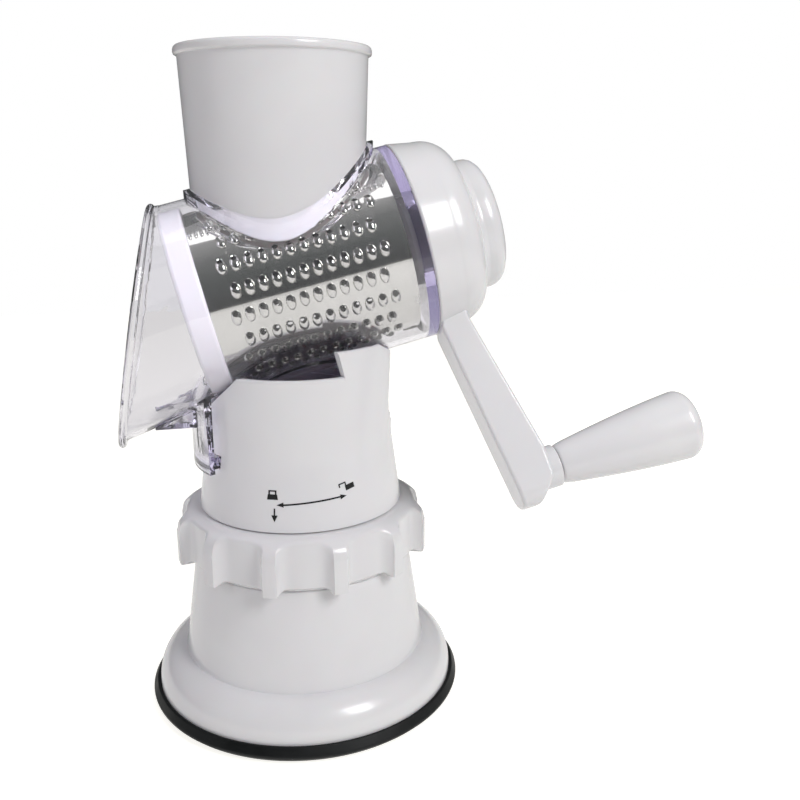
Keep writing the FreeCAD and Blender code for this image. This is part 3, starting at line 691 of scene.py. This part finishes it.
# printed marks on the column, between the ring's two ends of travel
marks = {
    "lift": 0.05, "ink": 0.06, "lineFrom": -109.0, "lineTo": -70.0, "lineLow": 93.4, "lineHigh": 95.0, "lineWide": 0.6,
    "headLong": 2.6, "headHalf": 0.95, "closedAt": (-111.3, 96.4), "arrowAt": (-110.2, 89.2), "openAt": (-67.6, 98.2),
    "openSwing": math.radians(12),
}


def makeMarks():
    bm = bmesh.new()

    def wrap(verts, place):
        # lays flat points on the column's wall, about an angle and a height
        for vert in verts:
            height = place[1] + vert.co.y / mm
            radius = columnRadius(height) + marks["lift"] + vert.co.z / mm
            angle = math.radians(place[0]) + vert.co.x / mm / radius
            vert.co = Vector((radius * math.cos(angle), radius * math.sin(angle), height)) * mm

    def stamp(points, place, turn=0.0):
        face = bm.faces.new([bm.verts.new((x * mm, y * mm, 0)) for x, y in points])
        verts = list(face.verts)
        verts += extrudeBy(bm, [face], (0, 0, marks["ink"] * mm))
        bmesh.ops.rotate(bm, verts=verts, cent=(0, 0, 0), matrix=Matrix.Rotation(turn, 3, "Z"))
        wrap(verts, place)

    def bar(width, height, x, y, place, turn=0.0):
        half, rise = width / 2, height / 2
        corners = [(x - half, y - rise), (x + half, y - rise), (x + half, y + rise), (x - half, y + rise)]
        stamp(corners, place, turn)

    middle = ((marks["lineFrom"] + marks["lineTo"]) / 2, (marks["lineLow"] + marks["lineHigh"]) / 2)
    span = math.radians(marks["lineTo"] - marks["lineFrom"]) * columnRadius(middle[1])
    rise = marks["lineHigh"] - marks["lineLow"]
    line = bmesh.ops.create_grid(bm, x_segments=28, y_segments=1, size=0.5)["verts"]
    line += extrudeBy(bm, bm.faces[:], (0, 0, marks["ink"] * mm))
    for vert in line:
        across = vert.co.x
        vert.co.x = across * (span - 3.0) * mm
        vert.co.y = (vert.co.y * marks["lineWide"] + across * rise) * mm
    wrap(line, middle)
    lean = math.atan2(rise, span)
    long, half = marks["headLong"], marks["headHalf"]
    stamp([(0, 0), (long, -half), (long, half)], (marks["lineFrom"], marks["lineLow"]), lean)
    stamp([(0, 0), (-long, half), (-long, -half)], (marks["lineTo"], marks["lineHigh"]), lean)
    # closed padlock with a down arrow under it
    closed, arrow = marks["closedAt"], marks["arrowAt"]
    stamp([(-2.1, -1.0), (2.1, -1.0), (1.75, 1.0), (-1.75, 1.0)], closed)
    for x in (-1.25, 1.25):
        bar(0.55, 1.5, x, 1.5, closed)
    bar(3.05, 0.5, 0, 2.3, closed)
    bar(0.55, 3.0, 0, 1.4, arrow)
    stamp([(-1.2, 0.3), (0, -2.2), (1.2, 0.3)], arrow)
    # open padlock, its bow swung aside
    for width, height, x, y in ((3.8, 2.0, 0, 0), (0.5, 1.3, -1.5, 1.4), (3.0, 0.5, -2.8, 2.2), (0.5, 1.3, -4.1, 1.6)):
        bar(width, height, x, y, marks["openAt"], marks["openSwing"])
    faceOutwards(bm)
    finishPiece("lockMarks", bm, markInk, "stand", weighted=False)


makeMarks()
print("marks made")

hopperLook = {
    "x": -4.7, "top": 256.6, "topRadius": 34.7, "taper": 2.3, "wall": 2.2, "lipHeight": 3.2, "lipOut": 1.3,
    "saddle": 36.25,
}


def makeHopper():
    look = hopperLook
    straight = look["top"] - look["lipHeight"]

    def radiusAt(height, inset):
        return look["topRadius"] - (straight - height) * math.tan(math.radians(look["taper"])) - inset

    def saddleHeight(angle, inset):
        height = axisHeight + look["saddle"]  # four rounds settle it
        for attempt in range(4):
            radius = radiusAt(height, inset)
            x = look["x"] + radius * math.cos(angle)
            y = radius * math.sin(angle)
            height = axisHeight + (x * math.sin(tilt) + math.sqrt(look["saddle"] ** 2 - y * y)) / math.cos(tilt)
        return height

    def wallLevel(share, inset, lift=0.0, slim=0.0):
        def level(angle):
            low = saddleHeight(angle, inset) + lift
            height = low + (straight - 0.4 - low) * share
            return radiusAt(height, inset) - slim, height, 0.0

        return level

    wall = look["wall"]
    out = look["topRadius"] + look["lipOut"]
    levels = [wallLevel(0.0, 0.0, 0.0, 0.5), wallLevel(0.0, 0.0, 0.25, 0.12), wallLevel(0.0, 0.0, 0.7)]
    levels += [wallLevel(share / 10, 0.0, 0.7) for share in range(1, 11)]
    levels += [
        (look["topRadius"] + 0.1, straight - 0.1),
        (out - 0.7, straight + 0.05),
        (out - 0.2, straight + 0.3),
        (out, straight + 0.8),
        (out, look["top"] - 1.3),
        (out - 0.25, look["top"] - 0.6),
        (out - 0.75, look["top"] - 0.12),
        (out - 1.4, look["top"]),
        (out - 2.3, look["top"] - 0.1),
        (radiusAt(look["top"], wall) + 0.3, look["top"] - 0.55),
        (radiusAt(look["top"], wall), look["top"] - 1.2),
    ]
    levels += [wallLevel(share / 10, wall, 0.7) for share in range(10, -1, -1)]
    levels.append(wallLevel(0.0, wall, 0.0, -0.4))
    bm = ringStack(levels, 160, centreX=look["x"])
    finishPiece("hopper", bm, whitePlastic, "stand", ["hopper"], sharpAngle=50)


makeHopper()
print("hopper made")

# clear housing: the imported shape, welded, with true normals on its round walls and a rolled rim at its mouth
mouth = {
    "top": (-39.0, -45.4), "bottom": (44.0, -83.0), "sideHalf": 39.0, "rimDepth": 2.05, "beadInset": 0.55,
    "beadWide": 1.75, "beadHigh": 1.5, "beadSink": 1.4, "beadSteps": 14,
}
roundWalls = {"radii": (36.2, 38.2, 41.2), "within": 0.04, "from": -41.1, "square": 0.985}


def mouthPlane():
    # local X falls along the leaning mouth, local Z points into the housing
    top = Vector((mouth["top"][0], 0, mouth["top"][1]))
    bottom = Vector((mouth["bottom"][0], 0, mouth["bottom"][1]))
    along = (bottom - top).normalized()
    across = Vector((0, 1, 0))
    place = Matrix((along, across, along.cross(across))).transposed().to_4x4()
    place.translation = (top + bottom) * 0.5 * mm
    return onAxis @ place, (bottom - top).length / 2


def beadLevel(turn, halfLength):
    wide = mouth["beadWide"] * math.cos(turn) - mouth["beadInset"]
    long = halfLength + wide
    side = mouth["sideHalf"] + wide
    height = mouth["beadSink"] + mouth["beadHigh"] * math.sin(turn)

    def level(angle):
        return long * side / math.hypot(side * math.cos(angle), long * math.sin(angle)), height, 0.0

    return level


def makeHousing():
    bm = bmesh.new()
    bm.from_mesh(nodes["clear_housing"].data)
    bmesh.ops.remove_doubles(bm, verts=bm.verts[:], dist=2 * nearly)
    bmesh.ops.dissolve_degenerate(bm, edges=bm.edges[:], dist=nearly)
    place, halfLength = mouthPlane()
    inwards = place.to_3x3() @ Vector((0, 0, 1))
    cutAway(bm, place.translation + inwards * mouth["rimDepth"] * mm, -inwards)
    bmesh.ops.bridge_loops(bm, edges=[edge for edge in bm.edges if edge.is_boundary])
    turns = [2 * math.pi * step / mouth["beadSteps"] for step in range(mouth["beadSteps"])]
    bead = ringStack([beadLevel(turn, halfLength) for turn in turns], 160)
    moveAll(bead, place)
    joinInto(bead, bm)
    piece = finishPiece(
        "clearHousing", bm, clearPlastic, "stand", ["clear_housing"], sharpAngle=24, weighted=False,
    )
    mesh = piece.data
    toAxis = onAxis.inverted()
    turnBack = onAxis.to_3x3()
    corners = [corner.vector.copy() for corner in mesh.corner_normals]
    for polygon in mesh.polygons:
        for corner in polygon.loop_indices:
            local = toAxis @ mesh.vertices[mesh.loops[corner].vertex_index].co
            reach = math.hypot(local.x, local.y)
            nearest = min(abs(reach / mm - radius) for radius in roundWalls["radii"])
            if nearest > roundWalls["within"] or local.z < roundWalls["from"] * mm:
                continue
            radial = turnBack @ Vector((local.x / reach, local.y / reach, 0))
            along = radial.dot(polygon.normal)
            if abs(along) > roundWalls["square"]:
                corners[corner] = radial if along > 0 else -radial
    mesh.normals_split_custom_set(corners)


makeHousing()
print("housing made")

drum = {
    "radius": 32.4, "front": -34.1, "back": 40.8, "sheet": 0.5, "rows": 22, "perRow": 12, "pitch": 5.0, "first": -23.1,
    "startAngle": math.radians(-2.9), "holeRadius": 1.62, "toothHeight": 1.35, "toothHalfWidth": 1.95,
    "toothHalfLength": 2.95, "toothShift": 1.3, "toothWall": 0.22, "toothSink": 0.1, "seamAngle": math.radians(-142.1),
    "seamFrom": -33.0, "seamTo": 40.2, "seamPitch": 2.1, "rib": (0.78, 1.7, 0.75),
}


def aroundDrum(angle, out, along):
    # place on the drum's skin: local X runs along the drum, Y with its turn, Z outwards
    spread = Matrix(((0, 0, 1), (0, 1, 0), (1, 0, 0))).to_4x4()
    return onAxis @ Matrix.Rotation(angle, 4, "Z") @ Matrix.Translation((out * mm, 0, along * mm)) @ spread


def makeTooth():
    # raised oval scoop, its mouth cut slanting over the hole
    bm = bmesh.new()
    bmesh.ops.create_uvsphere(bm, u_segments=14, v_segments=8, radius=1.0, matrix=Matrix.Rotation(math.pi / 2, 4, "X"))
    size = (drum["toothHalfWidth"] * mm, drum["toothHalfLength"] * mm, drum["toothHeight"] * mm)
    bmesh.ops.scale(bm, verts=bm.verts[:], vec=size)
    bmesh.ops.translate(bm, verts=bm.verts[:], vec=(0, drum["toothShift"] * mm, 0))
    cutAway(bm, (0, 0, -0.04 * mm), (0, 0, -1))
    cutAway(bm, (0, -1.5 * mm, 0.12 * mm), (0, -1.2, 2.3))
    faceOutwards(bm)
    if sum(face.normal.z * face.calc_area() for face in bm.faces) < 0:
        bmesh.ops.reverse_faces(bm, faces=bm.faces[:])
    bmesh.ops.solidify(bm, geom=bm.faces[:], thickness=drum["toothWall"] * mm)
    return bm


def makeSheet():
    # rolled sheet whose squares line up with the rows, so that each hole is four squares pulled round
    bm = bmesh.new()
    perPitch = 8
    columns = drum["rows"] * perPitch
    square = drum["pitch"] / 4
    start = drum["first"] - drum["pitch"] / 2
    stations = [drum["front"], (drum["front"] + start - 4 * square) / 2]
    stations += [start + square * step for step in range(-4, 4 * drum["perRow"] + 3)]
    stations += [(stations[-1] + drum["back"]) / 2, drum["back"]]
    verts = [bm.verts.new((drum["radius"] * mm, 0, station * mm)) for station in stations]
    bmesh.ops.rotate(bm, verts=verts, cent=(0, 0, 0), matrix=Matrix.Rotation(drum["startAngle"], 3, "Z"))
    for first, second in zip(verts, verts[1:]):
        bm.edges.new((first, second))
    spinRound(bm, columns)
    byPlace = {}
    step = 2 * math.pi / columns
    for vert in bm.verts:
        column = round((math.atan2(vert.co.y, vert.co.x) - drum["startAngle"]) / step) % columns
        byPlace[(column, round((vert.co.z / mm - start) / square, 1))] = vert
    middles = []
    reach = drum["holeRadius"]
    radius = drum["radius"] * mm
    for row in range(drum["rows"]):
        for index in range(drum["perRow"]):
            station = 4 * index + (0 if row % 2 else 2)
            for aside in (-1, 0, 1):
                for ahead in (-1, 0, 1):
                    vert = byPlace[((perPitch * row + aside) % columns, float(station + ahead))]
                    if aside == 0 and ahead == 0:
                        middles.append(vert)
                        continue
                    long = math.hypot(aside, ahead)
                    angle = drum["startAngle"] + step * perPitch * row + aside / long * reach / drum["radius"]
                    height = (start + square * station + ahead / long * reach) * mm
                    vert.co = Vector((radius * math.cos(angle), radius * math.sin(angle), height))
    bmesh.ops.delete(bm, geom=middles, context="VERTS")
    bmesh.ops.solidify(bm, geom=bm.faces[:], thickness=drum["sheet"] * mm)
    moveAll(bm, onAxis)
    return bm


def makeDrum():
    bm = makeSheet()
    tooth = makeTooth()
    for row in range(drum["rows"]):
        shift = -drum["pitch"] / 2 if row % 2 else 0.0
        angle = drum["startAngle"] + 2 * math.pi * row / drum["rows"]
        for index in range(drum["perRow"]):
            along = drum["first"] + shift + index * drum["pitch"]
            one = tooth.copy()
            place = aroundDrum(angle, drum["radius"] - drum["toothSink"], along)
            moveAll(one, place)
            joinInto(one, bm)
    tooth.free()
    # crimped seam along the sheet's joint
    along = drum["seamFrom"]
    while along <= drum["seamTo"]:
        rib = bmesh.new()
        bmesh.ops.create_uvsphere(rib, u_segments=10, v_segments=6, radius=1.0)
        bmesh.ops.scale(rib, verts=rib.verts[:], vec=Vector(drum["rib"]) * mm)
        place = aroundDrum(drum["seamAngle"], drum["radius"], along)
        moveAll(rib, place)
        joinInto(rib, bm)
        along += drum["seamPitch"]
    finishPiece(
        "drumShell", bm, drumSteel, "crank", ["drum_shell"], sharpAngle=50, weighted=False,
    )


makeDrum()
print("drum made")

frontRing = {"front": -43.0, "back": -34.12, "radius": 35.6, "bore": 29.6, "spigot": 31.88, "spigotEnd": -28.12}


def makeFrontRing():
    look = frontRing
    outline = [
        (look["bore"], look["front"], 0.8),
        (look["radius"], look["front"], 1.6),
        (look["radius"], look["back"], 1.1),
        (look["spigot"], look["back"], 0.2),
        (look["spigot"], look["spigotEnd"], 0.4),
        (look["bore"], look["spigotEnd"], 0.4),
    ]
    bm = lathe(outline, steps=144, place=onAxis)
    finishPiece("drumFrontRing", bm, whitePlastic, "crank", ["drum_front_ring"])


makeFrontRing()

crank = {
    "back": 47.0, "radius": 38.5, "face": 69.5, "shoulder": 57.0, "taper": 1.8, "wall": 2.5, "capRadius": 25.6,
    "well": 18.0, "wellFloor": 65.5, "bore": 7.9, "boreBack": 50.0, "hub": 20.5, "armWidth": 17.6, "armRoot": 27.0,
    "armBack": 46.6, "tipBack": 54.5, "tipFront": 68.6, "rootFront": 58.2, "length": 113.5, "tipChamfer": 7.0,
    "tipRound": 6.5, "armEdge": 1.3, "neckRadius": 8.0, "neckTop": 72.7, "pinBore": 3.1, "capHeight": 10.4,
    "capWall": 2.2, "capStep": 4.4, "plug": 17.9, "plugBore": 15.7, "plugDepth": 2.4,
}


def makeCrankArm():
    look = crank
    rim = look["radius"]
    shoulder, face, wall = rim - look["taper"], look["face"], look["wall"]
    dome = quarter(shoulder, look["shoulder"], look["capRadius"] + 0.8, face, 14)
    inner = quarter(shoulder - wall, look["shoulder"] - wall, look["capRadius"] + 1.0, face - wall, 8)
    outline = [(rim, look["back"], 0.9)] + dome
    outline += [(look["well"], face, 0.4), (look["well"], look["wellFloor"], 0.3), (look["bore"], look["wellFloor"])]
    outline += [(look["bore"], look["boreBack"]), (look["hub"], look["boreBack"]), (look["hub"], face - wall)]
    outline += inner[::-1] + [(rim - wall, look["back"], 0.3)]
    bm = lathe(outline, steps=160, place=onArm)
    arm = bmesh.new()
    side = [
        (look["armRoot"], look["armBack"] + 0.8),
        (rim - 1.0, look["armBack"] + 0.8),
        (rim + 0.6, look["armBack"]),
        (look["length"], look["tipBack"]),
        (look["length"], look["tipFront"] - look["tipChamfer"]),
        (gripOffset + look["tipChamfer"] / 2, look["tipFront"]),
        (gripOffset - look["neckRadius"], look["tipFront"]),
        (rim, look["rootFront"]),
        (look["armRoot"], look["rootFront"]),
    ]
    half = look["armWidth"] / 2 * mm
    extrudeBy(arm, [arm.faces.new([arm.verts.new((r * mm, -half, s * mm)) for r, s in side])], (0, 2 * half, 0))
    tip = [
        edge for edge in arm.edges
        if all(abs(vert.co.x - look["length"] * mm) < nearly for vert in edge.verts)
        and abs(edge.verts[0].co.y - edge.verts[1].co.y) < nearly
    ]
    bmesh.ops.bevel(arm, geom=tip, offset=look["tipRound"] * mm, segments=8, profile=0.5, affect="EDGES", material=-1)
    faceOutwards(arm)
    crisp = [edge for edge in arm.edges if edge.calc_face_angle(0.0) > math.radians(28)]
    bmesh.ops.bevel(
        arm, geom=crisp, offset=look["armEdge"] * mm, segments=4, profile=0.5, affect="EDGES", clamp_overlap=True,
        material=-1,
    )
    tidyNormals(arm)
    moveAll(arm, onArm)
    bm = joinInto(arm, bm)
    neck = [
        (look["pinBore"], look["tipFront"] - 6.0),
        (look["neckRadius"], look["tipFront"] - 6.0),
        (look["neckRadius"], look["neckTop"], 0.7),
        (look["pinBore"], look["neckTop"]),
    ]
    bm = lathe(neck, steps=64, place=onGrip, into=bm)
    finishPiece("crankArm", bm, whitePlastic, "crank", ["crank_arm"], sharpAngle=40)


def makeCrankCap():
    look = crank
    radius, wall = look["capRadius"], look["capWall"]
    foot = look["face"] + 0.02
    top = foot + look["capHeight"]
    outline = [
        (0, top),
        (radius, top, 5.5),
        (radius, foot + 2.0, 0.6),
        (radius + 0.8, foot, 0.2),
        (radius - wall, foot),
        (radius - wall, top - look["capStep"], 1.0),
        (look["plug"], top - look["capStep"]),
        (look["plug"], foot - look["plugDepth"], 0.3),
        (look["plugBore"], foot - look["plugDepth"], 0.3),
        (look["plugBore"], top - wall),
        (0, top - wall),
    ]
    bm = lathe(outline, steps=144, place=onAxis)
    finishPiece("crankCap", bm, whitePlastic, "crank", ["crank_cap"])


makeCrankArm()
makeCrankCap()
print("crank made")

gripLook = {
    "start": 73.1, "length": 55.5, "root": 7.6, "end": 13.4, "rounding": 5.0, "capRadius": 8.0, "capDepth": 4.0,
    "recess": 1.5, "plug": 2.5, "head": 6.6, "headDepth": 12.0, "bore": 3.1,
}


def makeGrip():
    look = gripLook
    start, bore = look["start"], look["bore"]
    end = start + look["length"]
    run = look["length"] - look["rounding"]
    rows = [(bore, start), (look["root"] - 0.7, start, 0.3), (look["root"] - 0.1, start + 0.9)]
    for step in range(1, 12):
        share = step / 12.0
        swell = 0.5 * share + 0.5 * math.sin(math.pi / 2 * share)
        rows.append((look["root"] + (look["end"] - look["root"]) * swell, start + share * run))
    rows += quarter(look["end"], end - look["rounding"], look["end"] - look["rounding"], end, 8)
    rows += [(look["capRadius"], end, 0.4), (look["capRadius"], end - look["capDepth"])]
    rows += [(look["head"], end - look["capDepth"]), (look["head"], end - look["headDepth"])]
    rows.append((bore, end - look["headDepth"]))
    bm = lathe(rows, steps=112, place=onGrip)
    finishPiece("grip", bm, whitePlastic, "grip", ["grip"])


def makeGripEndCap():
    end = gripLook["start"] + gripLook["length"] - gripLook["recess"]
    radius = gripLook["capRadius"] - 0.02
    outline = [(0, end), (radius, end, 0.4), (radius, end - gripLook["plug"]), (0, end - gripLook["plug"])]
    bm = lathe(outline, steps=72, place=onGrip)
    finishPiece("gripEndCap", bm, whitePlastic, "grip", ["grip_end_cap"])


makeGrip()
makeGripEndCap()
print("grip made")

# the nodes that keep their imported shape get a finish
steelPieces = [
    "column_screws", "pad_stud", "cam_pin", "drive_shaft", "shaft_clip", "shaft_washer", "shaft_screw",
    "grip_spindle", "spindle_nut", "grip_washer", "drum_rivets",
]
bearings = ["lifter", "crank_bush", "drum_rear_hub"]
for finish, members in ((plainSteel, steelPieces), (springSteel, ["return_spring"]), (bearingPlastic, bearings)):
    for member in members:
        nodes[member].data.materials.clear()
        nodes[member].data.materials.append(finish)
print("finishes set")

studio = {
    "camera": (-34.32, -359.59, 219.83), "pitch": 15.1, "yaw": 11.98, "roll": -0.26, "lens": 41.48,
    "floor": (0.5, 0.5, 0.49), "floorHalf": 1.0, "floorSeen": 0.85, "floorGlow": 0.36, "floorMirrored": 0.62,
    "floorThrough": 0.54, "ambient": 0.26, "seenThrough": 0.78,
}


def makeFloor():
    bm = bmesh.new()
    bmesh.ops.create_grid(bm, x_segments=1, y_segments=1, size=studio["floorHalf"])
    mesh = bpy.data.meshes.new("floor")
    bm.to_mesh(mesh)
    bm.free()
    floor = bpy.data.objects.new("floor", mesh)
    bpy.context.scene.collection.objects.link(floor)
    settings = {
        "Base Color": (*studio["floor"], 1.0),
        "Roughness": 0.7,
        "Specular IOR Level": 0.2,
        "Emission Color": (1.0, 0.985, 0.94, 1.0),
    }
    material, tree, shader, mapping = newMaterial("paleFloor", settings)
    rays = addNode(tree, "ShaderNodeLightPath")
    brightest = addRange(tree, rays, "Is Camera Ray", studio["floorGlow"], studio["floorSeen"])
    mirrored = addNode(tree, "ShaderNodeMath", {1: studio["floorMirrored"]}, "MULTIPLY", clamp=True)
    through = addRange(tree, rays, "Is Transmission Ray", 0.0, studio["floorThrough"])
    link(tree, rays, "Glossy Depth", mirrored, 0)
    for other in (mirrored, through):
        larger = addNode(tree, "ShaderNodeMath", operation="MAXIMUM")
        link(tree, other, 0, larger, 0)
        link(tree, brightest, 0, larger, 1)
        brightest = larger
    link(tree, brightest, "Value", shader, "Emission Strength")
    mesh.materials.append(material)


def makeLamp(name, place, target, size, power, colour=(1, 1, 1)):
    data = bpy.data.lights.new(name, "AREA")
    data.shape = "RECTANGLE"
    data.size, data.size_y = size
    data.energy = power
    data.color = colour
    lamp = bpy.data.objects.new(name, data)
    lamp.visible_glossy = name == "keySoftbox"
    lamp.location = place
    lamp.rotation_euler = (Vector(target) - Vector(place)).to_track_quat("-Z", "Y").to_euler()
    bpy.context.scene.collection.objects.link(lamp)


def makeWorld():
    # even white round about, and a darker room in reflections, open above
    world = bpy.data.worlds.new("studioRoom")
    bpy.context.scene.world = world
    world.use_nodes = True
    tree = world.node_tree
    tree.nodes.clear()
    output = addNode(tree, "ShaderNodeOutputWorld")
    even = addNode(tree, "ShaderNodeBackground", {"Color": (1.0, 1.0, 1.0, 1.0)})
    room = addNode(tree, "ShaderNodeBackground")
    rays = addNode(tree, "ShaderNodeLightPath")
    through = addRange(tree, rays, "Is Camera Ray", studio["seenThrough"], 1.0)
    strength = addNode(tree, "ShaderNodeMix", {"B": studio["ambient"]})
    place = addNode(tree, "ShaderNodeTexCoord")
    split = addNode(tree, "ShaderNodeSeparateXYZ")
    ramp = addNode(tree, "ShaderNodeValToRGB")
    stops = [
        (0.0, (0.75, 0.73, 0.66)), (0.40, (0.75, 0.73, 0.66)), (0.42, (0.03, 0.033, 0.031)),
        (0.72, (0.075, 0.085, 0.08)), (0.9, (0.17, 0.18, 0.175)), (1.0, (0.4, 0.4, 0.4)),
    ]
    while len(ramp.color_ramp.elements) < len(stops):
        ramp.color_ramp.elements.new(0.5)
    for element, (position, colour) in zip(ramp.color_ramp.elements, stops):
        element.position = position
        element.color = (*colour, 1.0)
    level = addNode(tree, "ShaderNodeMapRange", {"From Min": -1.0, "From Max": 1.0})
    chooser = addNode(tree, "ShaderNodeMixShader")
    mirrored = addNode(tree, "ShaderNodeMath", {1: 0.5}, "GREATER_THAN")
    # a ray that only wanders inside one clear wall still meets the white
    fromWall = addNode(tree, "ShaderNodeMath", {1: 1.5, 2: 0.6}, "COMPARE")
    both = addNode(tree, "ShaderNodeMath", operation="SUBTRACT", clamp=True)
    link(tree, place, "Generated", split, 0, "Z", level, "Value", "Result", ramp, "Fac", "Color", room, "Color")
    link(tree, room, "Background", chooser, 2)
    link(tree, through, "Result", strength, "A")
    link(tree, rays, "Is Diffuse Ray", strength, "Factor", "Result", even, "Strength", "Background", chooser, 1)
    link(tree, rays, "Glossy Depth", mirrored, 0, "Value", both, 0, "Value", chooser, 0, "Shader", output, "Surface")
    link(tree, rays, "Transmission Depth", fromWall, 0, "Value", both, 1)


def makeCamera():
    pitch, yaw, roll = (math.radians(studio[key]) for key in ("pitch", "yaw", "roll"))
    ahead = Vector((math.sin(yaw) * math.cos(pitch), math.cos(yaw) * math.cos(pitch), -math.sin(pitch)))
    right = Vector((math.cos(yaw), -math.sin(yaw), 0))
    up = right.cross(ahead)
    turnedRight = right * math.cos(roll) + up * math.sin(roll)
    turnedUp = up * math.cos(roll) - right * math.sin(roll)
    data = bpy.data.cameras.new("viewCamera")
    data.lens = studio["lens"]
    data.sensor_width = 36.0
    camera = bpy.data.objects.new("viewCamera", data)
    matrix = Matrix((turnedRight, turnedUp, -ahead)).transposed().to_4x4()
    matrix.translation = Vector(studio["camera"]) * mm
    camera.matrix_world = matrix
    data.clip_start = 0.01
    bpy.context.scene.collection.objects.link(camera)
    bpy.context.scene.camera = camera


makeFloor()
makeWorld()
makeLamp("keySoftbox", (0.55, -0.75, 0.75), (0, 0, 0.14), (0.35, 0.5), 6.6)
makeLamp("sideSoftbox", (-0.95, -0.35, 0.55), (0, 0, 0.14), (0.5, 0.7), 2.0, (0.94, 0.93, 1.0))
makeLamp("topSoftbox", (0.05, 0.1, 1.1), (0, 0, 0.1), (0.7, 0.7), 2.6)
makeCamera()
bpy.context.scene.view_settings.view_transform = "Standard"
bpy.context.scene.view_settings.look = "None"
print("studio set")
